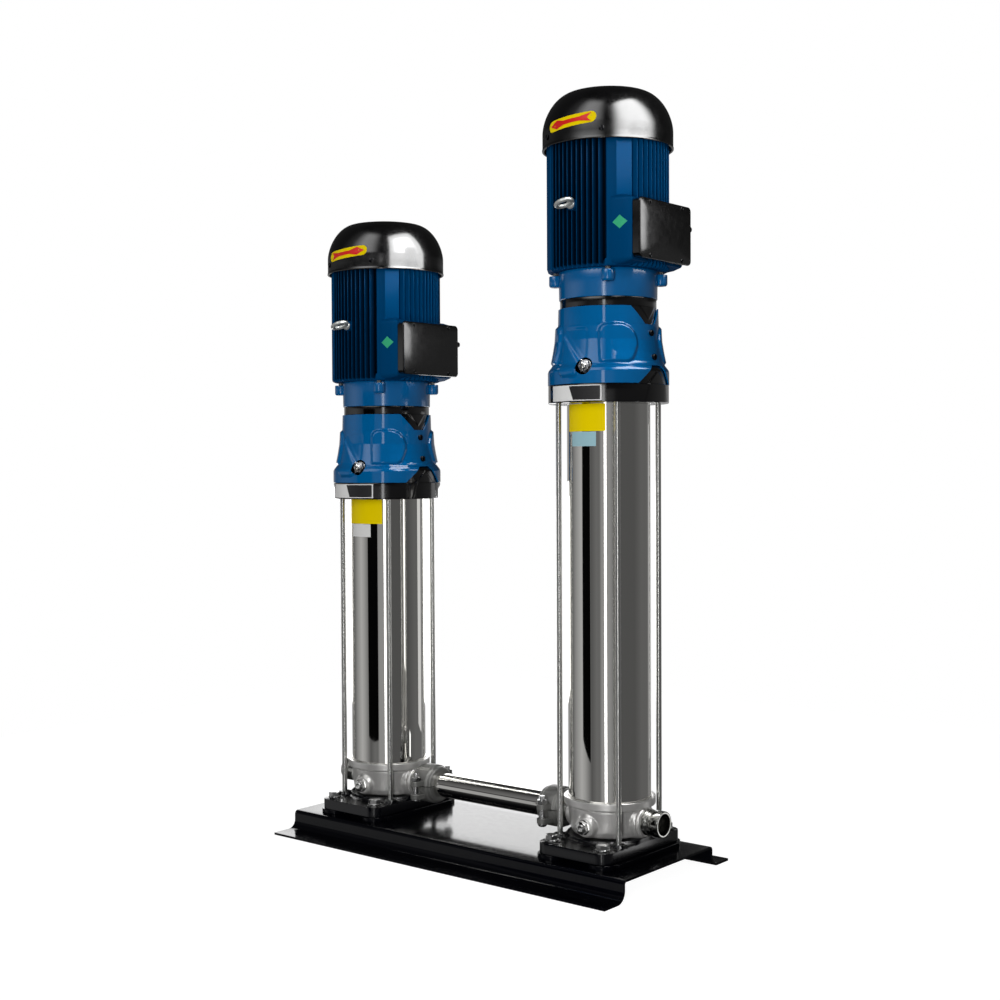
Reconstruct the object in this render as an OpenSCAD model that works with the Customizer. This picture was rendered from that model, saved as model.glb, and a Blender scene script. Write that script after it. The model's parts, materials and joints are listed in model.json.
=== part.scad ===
// Two vertical multistage pumps in series on one base channel.
// The origin is at the bottom centre of the base: +X runs along the base from the
// first pump to the second, +Y to the back and +Z up. An azimuth is an angle about
// a pump's axis: 0 faces the front (-Y) and 90 faces +X.

/* [Base] */
// Length of the base channel along the row of pumps
base_l = 726; // [700:5:900]
// Width over both flanges of the base
base_w = 356; // [350:2:440]
// Width of the raised top plate
base_top_w = 256; // [244:2:262]
// Height of the top plate above the floor
base_h = 35; // [32:1:60]
// Thickness of the base sheet
sheet_t = 4; // [3:0.5:5]
// Outer radius of the upper bends
bend_r = 7; // [5.5:0.5:10]
// Radius of the lower bends, on the upper face of the flanges
low_bend_r = 15; // [8:1:18]
// Diameter of the holes in the flanges
flange_hole_d = 13; // [8:1:15]
// Distance of a flange hole from the end of the base
flange_hole_end = 46; // [20:1:60]
// Distance of a flange hole from the edge of the flange
flange_hole_edge = 17; // [12:0.5:20]
// Distance between the two pump axes
pump_spacing = 495; // [485:5:520]

/* [Foot] */
// Thickness of the plate between the base and a foot
plate_t = 8; // [5:0.5:12]
// Width of that plate between its lobes
plate_w = 156; // [150:1:160]
// Radius of the plate's lobes
plate_lobe_r = 23; // [20:0.5:25]
// Height of the foot casting, without the seat of the head
foot_h = 19.5; // [16:0.5:40]
// Distance between the anchor bolts along X
anchor_x = 100; // [98:1:106]
// Distance between the anchor bolts along Y
anchor_y = 180; // [176:1:186]
// Radius of a lug round an anchor bolt
lug_r = 19.5; // [17:0.5:20]
// Diameter of the anchor bolts
anchor_d = 12; // [8:1:13]
// Diameter of the anchor holes
anchor_hole_d = 14; // [13.2:0.2:16]
// Height of the raised seat for the head
seat_h = 4.2; // [2:0.2:8]

/* [Head] */
// Height of the head casting
head_h = 60.8; // [58:0.2:76]
// Radius of the head at its top
head_r = 67; // [65:0.5:68]
// Radius of the ring that holds the sleeve
collar_r = 74.4; // [73:0.2:75]
// Height of that ring
collar_h = 12.5; // [9.5:0.5:14]
// Wall of the head casting
head_wall = 6.5; // [5:0.5:7.5]
// Height of the port axis above the bottom of the head
port_rise = 26.3; // [26:0.1:28]
// Distance of a port's face from the pump axis
port_reach = 105; // [104:1:110]
// Outer diameter of the port stubs and the pipe
pipe_d = 42.4; // [40:0.4:43.2]
// Wall of the pipe
pipe_wall = 2.8; // [2:0.2:4]
// Wall of the port stubs
port_wall = 4.4; // [3:0.2:5]
// Radius of the boss round a port
port_boss_r = 25; // [23:0.5:25.5]
// Distance from a pipe end to its groove
groove_end = 15.9; // [15:0.1:16.5]
// Width of a clamp groove
groove_w = 8; // [7:0.5:9]
// Depth of a clamp groove
groove_depth = 1.7; // [1:0.1:1.9]
// Width over the flats of the drain plug
drain_af = 19; // [15:1:21]

/* [Stack] */
// Outer diameter of the sleeve
sleeve_d = 134; // [132:0.5:135]
// Wall of the sleeve
sleeve_wall = 2; // [1:0.25:3]
// Depth of the seats at both ends of the sleeve
sleeve_seat = 9; // [6:0.5:10]
// Height of one stage
stage_pitch = 17.5; // [16.5:0.25:20]
// Stages of the first pump
left_stages = 24; // [10:1:30]
// Stages of the second pump
right_stages = 33; // [10:1:40]
// Height of the sleeve beyond its stages
stack_extra = 55; // [45:1:80]
// Outer radius of a stage chamber
chamber_r = 57; // [54:0.5:59]
// Wall of a stage chamber
chamber_wall = 1.5; // [1:0.25:2.5]
// Outer radius of an impeller
impeller_r = 49; // [40:0.5:51]
// Number of vanes in an impeller
vane_count = 5; // [3:1:7]
// Radius of an impeller's eye ring
eye_r = 16; // [14:0.5:20]
// Diameter of the tie rods
rod_d = 9; // [7:0.5:11]
// Radius of the circle of tie rods
rod_circle_r = 81.4; // [80.6:0.2:82]
// Diameter of the pump shaft
shaft_d = 14; // [12:0.5:16]

/* [Motor stool] */
// Radius of the bottom ring of the stool
ring_r = 97; // [94:0.5:99]
// Height of that ring
ring_h = 29.6; // [26:0.2:40]
// Height of the coupling guards
guard_h = 121.6; // [118:0.2:140]
// Thickness of the guards
guard_t = 2.5; // [1.5:0.25:3]
// Radius of a guard at its foot
guard_foot_r = 97.6; // [96:0.2:99]
// Radius of a guard above its shoulder
guard_neck_r = 89.2; // [88:0.2:91]
// Radius of a guard at half height
guard_mid_r = 82.5; // [82:0.1:85]
// Radius of a guard at its top
guard_top_r = 80.3; // [80:0.1:81.5]
// How far the panels stand out of a guard
panel_lift = 3; // [0.8:0.1:4]
// Thickness of the stool's columns
column_t = 12; // [9:0.5:13]
// Radius of the stool's top flange
stool_top_r = 77; // [74:0.5:77.2]
// Thickness of the stool's top flange
stool_top_h = 14.8; // [10:0.2:20]
// Radius of the shaft coupling
coupling_r = 26; // [24:0.5:30]
// Length of the shaft coupling
coupling_l = 76; // [66:1:82]

/* [Motor] */
// Radius of the motor flange
drum_r = 79.5; // [78:0.5:81]
// Height of the motor flange
drum_h = 44.7; // [42:0.1:60]
// Wall of the motor flange
drum_wall = 8; // [6:0.5:9]
// Radius of the circle of flange lugs
lug_circle_r = 84.5; // [84:0.5:87]
// Radius of a flange lug
flange_lug_r = 10.5; // [9.5:0.5:11.5]
// Height of a flange lug
flange_lug_h = 18; // [14:0.5:22]
// Azimuth of the first flange lug
lug_azimuth = 35; // [34:0.5:38]
// Radius over the fins
fin_r = 98.5; // [97:0.5:101]
// Radius at the roots of the fins
fin_root_r = 88; // [86:0.5:90]
// Distance between fins
fin_pitch = 8.9; // [8.5:0.1:9]
// Thickness of a fin
fin_t = 2.4; // [1.5:0.1:3.5]
// Fins on each side
fin_count = 11; // [3:2:11]
// Height of the finned housing
housing_h = 205; // [180:1:260]
// Bore of the finned housing
housing_bore_r = 70; // [66:0.5:71]
// Diameter of the motor shaft in its bearings
motor_shaft_d = 28; // [24:1:30]
// Outer radius of the motor bearings
bearing_r = 29; // [26:0.5:33]
// Height of the motor bearings
bearing_h = 16; // [12:1:18]
// Gap between rotor and stator
air_gap = 0.5; // [0.4:0.1:1]

/* [Fan and cowl] */
// Height of the cowl from its rim to its top
cowl_h = 89.6; // [84:0.2:110]
// Outer radius of the cowl
cowl_r = 104.8; // [103:0.2:108]
// Wall of the cowl
cowl_wall = 2.4; // [1.5:0.1:3]
// Height of the straight part of the cowl
cowl_skirt = 27; // [24:1:40]
// Radius of the flat top of the cowl
cowl_flat_r = 60; // [56:1:70]
// How far the cowl reaches down over the housing
cowl_overlap = 10.5; // [6:0.5:12]
// Blades of the fan
blade_count = 8; // [5:1:11]
// Radius of the fan
fan_r = 80; // [60:1:86]
// Height of the fan blades
blade_h = 38; // [24:1:44]

/* [Terminal box] */
// Distance of the cover's face from the motor axis
box_reach = 112.5; // [111.5:0.5:122]
// Distance of the housing's seat face from the motor axis
box_seat = 95; // [94:0.5:96]
// Width of the box along Y
box_w = 144; // [136:1:150]
// Height of the box
box_h = 93; // [80:1:100]
// Height of the box above the bottom of the housing
box_rise = 8.5; // [6:0.5:30]
// Thickness of the cover
cover_t = 5; // [3.5:0.25:5.5]
// Radius of the box's corners
box_corner_r = 7; // [4:0.5:10]

/* [Fits] */
// Radial clearance of a running fit
running_fit = 0.05; // [0.02:0.01:0.09]
// Radial clearance of a fixed fit
seat_fit = 0.3; // [0.1:0.05:0.4]

/* [Hidden] */
$fn = 64;

left = -1;
right = 1;
sides = [left, right];
quarters = [45, 135, 225, 315];

// Levels that both pumps share
plate_top_z = base_h + plate_t;
foot_z = plate_top_z + foot_h;
head_z = foot_z + seat_h;
port_z = head_z + port_rise;
head_top_z = head_z + head_h;
ledge_z = head_top_z - sleeve_seat;
pipe_r = pipe_d / 2;
pipe_bore_r = pipe_r - pipe_wall;
port_bore_r = pipe_r - port_wall;
groove_r = pipe_r - groove_depth;
boss_end = port_reach - groove_end - groove_w - 7.5;
sleeve_r = sleeve_d / 2;
shaft_r = shaft_d / 2;
rod_r = rod_d / 2;
anchor_hole_r = anchor_hole_d / 2;
foot_hole_r = head_r - 20;

// Levels above the bottom of the stool's ring
guard_z = ring_h;
stool_top_z = ring_h + guard_h;
drum_z = stool_top_z + stool_top_h;
housing_z = drum_z + drum_h;
housing_top_z = housing_z + housing_h;
cowl_z = housing_top_z - cowl_overlap;

// Clamps on the crossover pipe
joint_gap = 1.5;
joint_reach = port_reach + joint_gap / 2;
clamp_half_w = groove_end + groove_w - 1.4;
clamp_r = pipe_r + 12.8;
clamp_split = 1.5;
clamp_ear_y = pipe_r + 21.2;
clamp_ear_t = 9;
clamp_ear_rise = 1.5;
clamp_ear_drop = 13;
clamp_ear_r = 9.5;
clamp_bolt_r = 5;
clamp_nut_h = 7.5;
clamp_head_h = 5.6;
clamp_head_r = 8;
key_in = groove_end + 1.5 + joint_gap / 2;
gasket_r = pipe_r + 8.8;
gasket_half_w = 12;

// Hexagon heads and nuts
anchor_af = anchor_d * 1.55;
anchor_head_h = anchor_d * 0.62;
anchor_nut_h = anchor_d * 0.8;
anchor_washer_t = 2;
anchor_nut_z = base_h - sheet_t - anchor_nut_h;
rod_nut_af = rod_d * 1.6;
rod_nut_h = rod_d * 0.8;
rod_end = ring_h + rod_nut_h + 4;
rod_boss_r = rod_r + 6.5;
rod_root = foot_z - 12;

// Drain plug in the front of the head
drain_z = head_z + 20.3;
drain_boss_r = drain_af / 2 + 5;
drain_face_y = head_r + 5;
drain_neck_r = drain_af / 2 - 2.5;
drain_head_h = 8;

// Vent in the pump's top
vent_azimuth = 11;
vent_z = ring_h + 27;
vent_boss_r = 12;
vent_boss_reach = rod_circle_r - 7;
vent_face = vent_boss_reach + vent_boss_r;
vent_body_r = 9;
vent_head_l = 9;
vent_screw_r = 4;
vent_screw_l = 6;
vent_cap_r = 6;
vent_hole_r = 15;

// Stages
chamber_floor = 2;
lip_h = 3.2;
eye_gap = 0.4;
shroud_t = 1.2;
vane_h = 4;
impeller_low = 4.2;
hub_r = shaft_r + 3.5;

// Shafts
bush_r = shaft_r + 4;
bush_h = 14;
bush_post_r = bush_r + 4;
pump_shaft_low = head_z + 12;
coupling_z = ring_h + 26;
shaft_meet_z = coupling_z + coupling_l * 0.48;
motor_shaft_r = motor_shaft_d / 2;
motor_end_r = motor_shaft_r - 0.5;
seal_bore_r = 22;
seal_low = -6;

// Motor interior
low_bearing_z = housing_z - bearing_h - 5;
end_shield_t = 6;
high_bearing_z = housing_top_z - bearing_h - 1;
core_z = housing_z + 28;
core_h = housing_h - 82;
core_r = housing_bore_r - 0.1;
rotor_r = core_r - 22;
winding_h = 17;
fan_z = housing_top_z + end_shield_t + 6;
fan_hub_r = motor_shaft_r + 6;
shaft_top_z = fan_z + 20;

// Guard features, measured from the top of the ring
waist_half_w = 13;
waist_low = 28;
waist_high = 94;
notch_half_w = 39;
skirt_half_w = 42.8;
column_lip = 4;
seam_azimuth = 5;
seam_gap = 0.3;
dome_power = 1.14;
grille_slot = 4.5;
grille_web = 5;
m8_r = 4;
m8_af = 13;
m8_head_h = 5;
m8_nut_h = 6;
m8_cap_r = 6.2;
guard_screw_z = [42, 80];

// Small screws of the guards, the cowl and the terminal cover
small_screw_r = 2.5;
small_head_r = 5;
small_head_h = 3;
cowl_screw_azimuths = [-30, 30, 150, 210];
shield_lug_h = 9;
shield_screw_z = housing_top_z + shield_lug_h / 2;
shield_screw_r = housing_bore_r + 9;
cowl_bore_r = cowl_r - cowl_wall;
cover_screw_y = box_w / 2 - 27;
cover_screw_edge = 4.5;
cover_screw_r = 2;
cover_head_r = 4;
cover_head_h = 1.6;

// Screws between the stool and the motor flange
flange_screw_r = drum_r - drum_wall - 9.5;
flange_screw_azimuths = [35, 145, 215, 325];
coupling_screw_x = coupling_r * 0.72;
coupling_screw_r = 3;
flange_lug_z = housing_z - 4.5 - flange_lug_h;

// Where the fins give way to the corner pads
corner_x = fin_r * sin(32);

// Places of the terminal box, its cable gland and the lifting eye
box_z = housing_z + box_rise;
gland_neck_r = 3.6;
gland_hex_r = 6;
gland_rise = 60;
gland_x = (box_seat + box_reach - cover_t) / 2;
eye_z = housing_z + 97;
eye_tilt = 28;
eye_ring_r = 9.8;
eye_wire_r = 3.5;

// Inner radii of the slots in the cowl's top
slot_radii = [13, 22, 31, 40, 49];

function side_x(side) = side * pump_spacing / 2;
function stages(side) = side < 0 ? left_stages : right_stages;
function ring_z(side) = head_top_z + stages(side) * stage_pitch + stack_extra;
function hex_r(flats) = flats / 2 / cos(30);
function arc(cx, cy, r, from, to, n) =
    [for (i = [0:n]) let (a = from + (to - from) * i / n) [cx + r * cos(a), cy + r * sin(a)]];
function mirrored(points) = [for (i = [len(points) - 1:-1:0]) [-points[i][0], points[i][1]]];
function polar(r, azimuth) = [r * sin(azimuth), -r * cos(azimuth)];

module pump(side) translate([side_x(side), 0, 0]) children();
module upper(side) translate([side_x(side), 0, ring_z(side)]) children();
module facing(azimuth) rotate([0, 0, azimuth]) children();
// A cylinder that runs outwards to the front, from one radius to another
module spoke(from, to, r) translate([0, -from, 0]) rotate([90, 0, 0]) cylinder(h = to - from, r = r);
module hex_spoke(from, to, r) translate([0, -from, 0]) rotate([90, 0, 0]) cylinder(h = to - from, r = r, $fn = 6);
module hex(h, flats) cylinder(h = h, r = hex_r(flats), $fn = 6);
module tube(h, outer, inner) difference() {
    cylinder(h = h, r = outer);
    translate([0, 0, -1]) cylinder(h = h + 2, r = inner);
}
module rounded_square(w, d, r) {
    square([w, d - 2 * r], center = true);
    square([w - 2 * r, d], center = true);
    for (x = [-1, 1], y = [-1, 1])
        translate([x * (w / 2 - r), y * (d / 2 - r)]) circle(r = r);
}
module at_anchors() for (x = [-1, 1], y = [-1, 1])
    translate([x * anchor_x / 2, y * anchor_y / 2, 0]) children();
module at_rods() for (a = quarters) facing(a) translate([0, -rod_circle_r, 0]) children();

// Base: one sheet bent to a hat section, open at both ends
function hat_half() = let (
    y = base_top_w / 2,
    top = [y - bend_r, base_h - bend_r],
    low = [y + low_bend_r, sheet_t + low_bend_r]
) concat(
    arc(top[0], top[1], bend_r, 90, 0, 6),
    arc(low[0], low[1], low_bend_r, 180, 270, 8),
    [[base_w / 2, sheet_t], [base_w / 2, 0]],
    arc(low[0], low[1], low_bend_r + sheet_t, 270, 180, 8),
    arc(top[0], top[1], bend_r - sheet_t, 0, 90, 6)
);
module base_frame() color("#101114") difference() {
    rotate([90, 0, 90]) linear_extrude(base_l, center = true)
        polygon(concat(hat_half(), mirrored(hat_half())));
    for (x = [-1, 1], y = [-1, 1])
        translate([x * (base_l / 2 - flange_hole_end), y * (base_w / 2 - flange_hole_edge), -1])
            cylinder(h = sheet_t + 2, d = flange_hole_d);
    for (side = sides) pump(side) at_anchors()
        translate([0, 0, base_h - sheet_t - 1]) cylinder(h = sheet_t + 2, r = anchor_hole_r);
}

// Foot: a casting on a slightly larger plate, both bolted through the base
module foot_plates() color("#8d9094") for (side = sides) pump(side) difference() {
    translate([0, 0, base_h]) linear_extrude(plate_t) {
        square([plate_w, anchor_y - 8], center = true);
        at_anchors() circle(r = plate_lobe_r);
    }
    translate([0, 0, base_h - 1]) {
        cylinder(h = plate_t + 2, r = foot_hole_r);
        at_anchors() cylinder(h = plate_t + 2, r = anchor_hole_r);
    }
}
module foot(side) color("#141518") pump(side) difference() {
    union() {
        translate([0, 0, plate_top_z]) linear_extrude(foot_h)
            rounded_square(anchor_x + 2 * lug_r, anchor_y + 2 * lug_r, lug_r);
        translate([0, 0, foot_z]) cylinder(h = seat_h, r = head_r + 3);
        translate([0, 0, foot_z]) at_rods() cylinder(h = seat_h, r = rod_boss_r);
    }
    translate([0, 0, base_h]) cylinder(h = foot_z, r = foot_hole_r);
    translate([0, 0, base_h]) at_anchors() cylinder(h = foot_z, r = anchor_hole_r);
    translate([0, 0, rod_root]) at_rods() cylinder(h = foot_z, r = rod_r + running_fit);
}
module anchor_fasteners() color("#b9bcc0") for (side = sides) pump(side) at_anchors() {
    translate([0, 0, foot_z]) cylinder(h = anchor_washer_t, r = anchor_af * 0.62);
    translate([0, 0, foot_z + anchor_washer_t]) hex(anchor_head_h, anchor_af);
    translate([0, 0, anchor_nut_z - 3]) cylinder(h = foot_z + 4 - anchor_nut_z, d = anchor_d);
    translate([0, 0, anchor_nut_z]) hex(anchor_nut_h, anchor_af);
}

// Head: the casting with both ports, a suction bowl and a ring passage round it
function head_outline() = concat(
    [[0, head_z], [head_r - 14, head_z]],
    arc(head_r - 14, head_z + 11, 11, -90, 0, 6),
    [
        [head_r, head_top_z - collar_h - 6], [head_r, head_top_z - collar_h - 1.2],
        [head_r - 1.5, head_top_z - collar_h - 1.2], [head_r - 1.5, head_top_z - collar_h],
        [collar_r, head_top_z - collar_h], [collar_r, head_top_z - 1.5],
        [collar_r - 1.5, head_top_z], [sleeve_r + seat_fit, head_top_z],
        [sleeve_r + seat_fit, ledge_z], [0, ledge_z]
    ]
);
module stub(side) translate([0, 0, port_z]) rotate([0, side * 90, 0]) rotate_extrude() polygon([
    [0, head_r - 12], [port_boss_r, head_r - 12], [port_boss_r, boss_end - 6],
    [pipe_r + 1, boss_end], [pipe_r, boss_end], [pipe_r, port_reach - groove_end - groove_w],
    [groove_r, port_reach - groove_end - groove_w], [groove_r, port_reach - groove_end],
    [pipe_r, port_reach - groove_end], [pipe_r, port_reach - 0.8], [pipe_r - 0.8, port_reach],
    [0, port_reach]
]);
module passage() difference() {
    translate([0, 0, head_z + 10]) tube(head_h, head_r - head_wall, bush_post_r + 22);
    translate([0, 0, port_z]) rotate([0, -90, 0]) cylinder(h = head_r, r = pipe_r);
}
module head(side) color("#c3c3bf") pump(side) difference() {
    union() {
        rotate_extrude() polygon(head_outline());
        for (s = sides) stub(s);
        translate([0, 0, drain_z]) spoke(head_r - 12, drain_face_y, drain_boss_r);
    }
    difference() {
        translate([0, 0, head_z + 7]) cylinder(h = head_h, r = bush_post_r + 16);
        translate([0, 0, head_z]) cylinder(h = 12 + bush_h, r = bush_post_r);
    }
    passage();
    translate([0, 0, port_z]) rotate([0, 90, 0]) translate([0, 0, head_r - head_wall - 8])
        cylinder(h = port_reach, r = port_bore_r);
    translate([0, 0, port_z]) rotate([0, -90, 0]) translate([0, 0, bush_post_r + 4])
        cylinder(h = port_reach, r = port_bore_r);
    translate([0, 0, pump_shaft_low]) cylinder(h = head_h, r = bush_r + running_fit);
    translate([0, 0, drain_z]) spoke(head_r - head_wall - 4, drain_face_y + 1, drain_neck_r + running_fit);
}
module drain_plugs() color("#cfd2d4") for (side = sides) pump(side) translate([0, 0, drain_z]) {
    spoke(head_r - head_wall + 1, drain_face_y, drain_neck_r);
    hex_spoke(drain_face_y, drain_face_y + drain_head_h, hex_r(drain_af));
    spoke(drain_face_y, drain_face_y + drain_head_h + 2.5, drain_neck_r - 1);
}

// Pipe between the pumps, with a clamp groove at each end
module crossover_pipe() color("#c9cacb") translate([0, 0, port_z]) rotate([0, 90, 0])
    let (half = pump_spacing / 2 - port_reach - joint_gap) rotate_extrude() polygon([
        [pipe_bore_r, -half], [pipe_r, -half], [pipe_r, -half + groove_end],
        [groove_r, -half + groove_end], [groove_r, -half + groove_end + groove_w],
        [pipe_r, -half + groove_end + groove_w], [pipe_r, half - groove_end - groove_w],
        [groove_r, half - groove_end - groove_w], [groove_r, half - groove_end],
        [pipe_r, half - groove_end], [pipe_r, half], [pipe_bore_r, half]
    ]);
module at_joints() for (side = sides)
    translate([-side * (pump_spacing / 2 - joint_reach), 0, port_z]) children();
// A clamp's round housing about X: two keys that drop into the grooves, and a gasket chamber
module clamp_housing() rotate([0, 90, 0]) rotate_extrude() polygon([
    [groove_r + seat_fit, -clamp_half_w], [clamp_r - 5, -clamp_half_w],
    [clamp_r - 3, -clamp_half_w + 2], [clamp_r - 3, -clamp_half_w + 7],
    [clamp_r, -clamp_half_w + 9], [clamp_r, clamp_half_w - 9],
    [clamp_r - 3, clamp_half_w - 7], [clamp_r - 3, clamp_half_w - 2],
    [clamp_r - 5, clamp_half_w], [groove_r + seat_fit, clamp_half_w],
    [groove_r + seat_fit, key_in], [pipe_r + seat_fit, key_in],
    [pipe_r + seat_fit, gasket_half_w + 0.2], [gasket_r + 0.2, gasket_half_w + 0.2],
    [gasket_r + 0.2, -gasket_half_w - 0.2], [pipe_r + seat_fit, -gasket_half_w - 0.2],
    [pipe_r + seat_fit, -key_in], [groove_r + seat_fit, -key_in]
]);
module clamp_half(ear_z) difference() {
    union() {
        intersection() {
            clamp_housing();
            translate([-2 * clamp_r, -2 * clamp_r, clamp_split / 2])
                cube([4 * clamp_r, 4 * clamp_r, 2 * clamp_r]);
        }
        for (y = [-1, 1]) difference() {
            union() {
                translate([0, y * clamp_ear_y, ear_z]) cylinder(h = clamp_ear_t, r = clamp_ear_r);
                translate([-clamp_ear_r, y * (clamp_ear_y - 10) - 10, ear_z])
                    cube([2 * clamp_ear_r, 20, clamp_ear_t]);
                translate([-3, y * (clamp_r - 1) - 5, clamp_split / 2])
                    cube([6, 10, ear_z + 1 - clamp_split / 2]);
            }
            rotate([0, 90, 0]) cylinder(h = 4 * clamp_r, r = clamp_r - 1.5, center = true);
            translate([0, y * clamp_ear_y, 0]) cylinder(h = ear_z, r = clamp_bolt_r + 2);
        }
    }
    for (y = [-1, 1]) translate([0, y * clamp_ear_y, 0])
        cylinder(h = 60, r = clamp_bolt_r + seat_fit);
}
module clamp_upper_halves() color("#8f918f") at_joints() clamp_half(clamp_ear_rise);
module clamp_lower_halves() color("#8f918f") at_joints() mirror([0, 0, 1]) clamp_half(clamp_ear_drop);
module clamp_fasteners() color("#b9bcc0") at_joints() for (y = [-1, 1]) translate([0, y * clamp_ear_y, 0]) {
    translate([0, 0, -clamp_ear_drop - clamp_ear_t - clamp_head_h])
        cylinder(h = clamp_head_h, r = clamp_head_r);
    translate([0, 0, -clamp_ear_drop - clamp_ear_t])
        cylinder(h = clamp_ear_drop + clamp_ear_rise + 2 * clamp_ear_t + clamp_nut_h + 5, r = clamp_bolt_r);
    translate([0, 0, clamp_ear_rise + clamp_ear_t]) hex(clamp_nut_h, clamp_bolt_r * 3.25);
}
module rubber_seals() color("#1c1c1d") {
    at_joints() rotate([0, 90, 0]) translate([0, 0, -gasket_half_w])
        tube(2 * gasket_half_w, gasket_r, pipe_r + 0.1);
    for (side = sides) {
        pump(side) translate([0, 0, ledge_z]) tube(3, sleeve_r - sleeve_wall - 0.1, sleeve_r - sleeve_wall - 3.1);
        upper(side) translate([0, 0, sleeve_seat - 3]) tube(3, sleeve_r - sleeve_wall - 0.1, sleeve_r - sleeve_wall - 3.1);
    }
}

// Sleeve, tie rods and the stack of stages
module outer_sleeve(side) color("#b8b9b8") pump(side) translate([0, 0, ledge_z])
    tube(ring_z(side) + sleeve_seat - ledge_z, sleeve_r, sleeve_r - sleeve_wall);
module tie_rods() color("#c4c6c8") for (side = sides) pump(side) at_rods()
    translate([0, 0, rod_root]) cylinder(h = ring_z(side) + rod_end - rod_root, r = rod_r);
module tie_rod_nuts() color("#b9bcc0") for (side = sides) upper(side) at_rods()
    translate([0, 0, ring_h]) difference() {
        hex(rod_nut_h, rod_nut_af);
        translate([0, 0, -1]) cylinder(h = rod_nut_h + 2, r = rod_r + running_fit);
    }
module chamber() rotate_extrude() polygon([
    [eye_r + eye_gap, 0], [chamber_r, 0], [chamber_r, stage_pitch],
    [chamber_r - chamber_wall, stage_pitch], [chamber_r - chamber_wall, chamber_floor],
    [eye_r + eye_gap + 1.6, chamber_floor], [eye_r + eye_gap + 1.6, lip_h], [eye_r + eye_gap, lip_h]
]);
module stage_chambers() color("#a9abad") for (side = sides) pump(side) {
    for (i = [0:stages(side) - 1]) translate([0, 0, ledge_z + i * stage_pitch]) chamber();
    let (low = ledge_z + stages(side) * stage_pitch, high = ring_z(side) + sleeve_seat) difference() {
        translate([0, 0, low]) tube(high - low, chamber_r, chamber_r - 2 * chamber_wall);
        for (a = [0:60:179]) facing(a) translate([0, 0, (low + high) / 2]) rotate([90, 0, 0])
            cylinder(h = 2.2 * chamber_r, r = min(9, (high - low) / 4), center = true);
    }
}
// One vane is a thin plate that leans back as it runs out
module vane() linear_extrude(vane_h + shroud_t) polygon(concat(
    [for (t = [0:0.34:1.02]) polar(eye_r - 1 + (impeller_r - eye_r) * t, -58 * t)],
    [for (t = [1.02:-0.34:0]) polar(eye_r - 1 + (impeller_r - eye_r) * t, 4 - 58 * t)]
));
module impeller() {
    rotate_extrude() polygon([
        [shaft_r + running_fit, impeller_low + 2], [hub_r, impeller_low + 2],
        [hub_r, impeller_low + shroud_t + vane_h], [impeller_r, impeller_low + shroud_t + vane_h],
        [impeller_r, impeller_low + 2 * shroud_t + vane_h], [hub_r, impeller_low + 2 * shroud_t + vane_h],
        [hub_r, stage_pitch - 2], [shaft_r + running_fit, stage_pitch - 2]
    ]);
    rotate_extrude() polygon([
        [eye_r - 2, 0.8], [eye_r, 0.8], [eye_r, impeller_low], [impeller_r, impeller_low],
        [impeller_r, impeller_low + shroud_t], [eye_r - 2, impeller_low + shroud_t]
    ]);
    for (i = [0:vane_count - 1]) rotate([0, 0, i * 360 / vane_count])
        translate([0, 0, impeller_low + shroud_t / 2]) vane();
}
module impellers(side) color("#9c9fa1") pump(side) for (i = [0:stages(side) - 1])
    translate([0, 0, ledge_z + i * stage_pitch]) impeller();
module pump_shaft(side) color("#d0d2d3") pump(side) translate([0, 0, pump_shaft_low + 1])
    cylinder(h = ring_z(side) + shaft_meet_z - 2 - pump_shaft_low, r = shaft_r);
module shaft_bushes() color("#5d5f5c") for (side = sides) pump(side)
    translate([0, 0, pump_shaft_low]) tube(bush_h, bush_r, shaft_r + running_fit);
module seal_seats() color("#8c8476") for (side = sides) upper(side) rotate_extrude() polygon([
    [shaft_r + 1, sleeve_seat + 5], [seal_bore_r - running_fit, sleeve_seat + 5],
    [seal_bore_r - running_fit, ring_h], [seal_bore_r + 9, ring_h],
    [seal_bore_r + 9, ring_h + 5], [shaft_r + 1, ring_h + 5]
]);
module seal_ring(side) color("#3b3d40") upper(side) rotate_extrude() polygon([
    [shaft_r + running_fit, seal_low], [shaft_r + 10, seal_low], [shaft_r + 10, seal_low + 8],
    [shaft_r + 7, seal_low + 8], [shaft_r + 7, sleeve_seat + 5 - seat_fit],
    [shaft_r + running_fit, sleeve_seat + 5 - seat_fit]
]);

// Motor stool: a ring, two waisted columns and a top flange
function guard_curve(inset) = [
    [guard_foot_r - inset, 0], [guard_foot_r - inset, 20.5],
    [guard_foot_r - 1.2 - inset, 23.5], [guard_neck_r + 0.8 - inset, 31.8],
    [guard_neck_r - 0.6 - inset, 35.7], [guard_mid_r + 2.9 - inset, 51.3],
    [guard_mid_r - inset, 69], [(guard_mid_r + guard_top_r) / 2 - 0.3 - inset, 91.4],
    [guard_top_r - inset, guard_h]
];
function reversed(points) = [for (i = [len(points) - 1:-1:0]) points[i]];
module guard_skin(outset, depth) translate([0, 0, guard_z]) rotate_extrude()
    polygon(concat(guard_curve(-outset), reversed(guard_curve(depth))));
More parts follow.
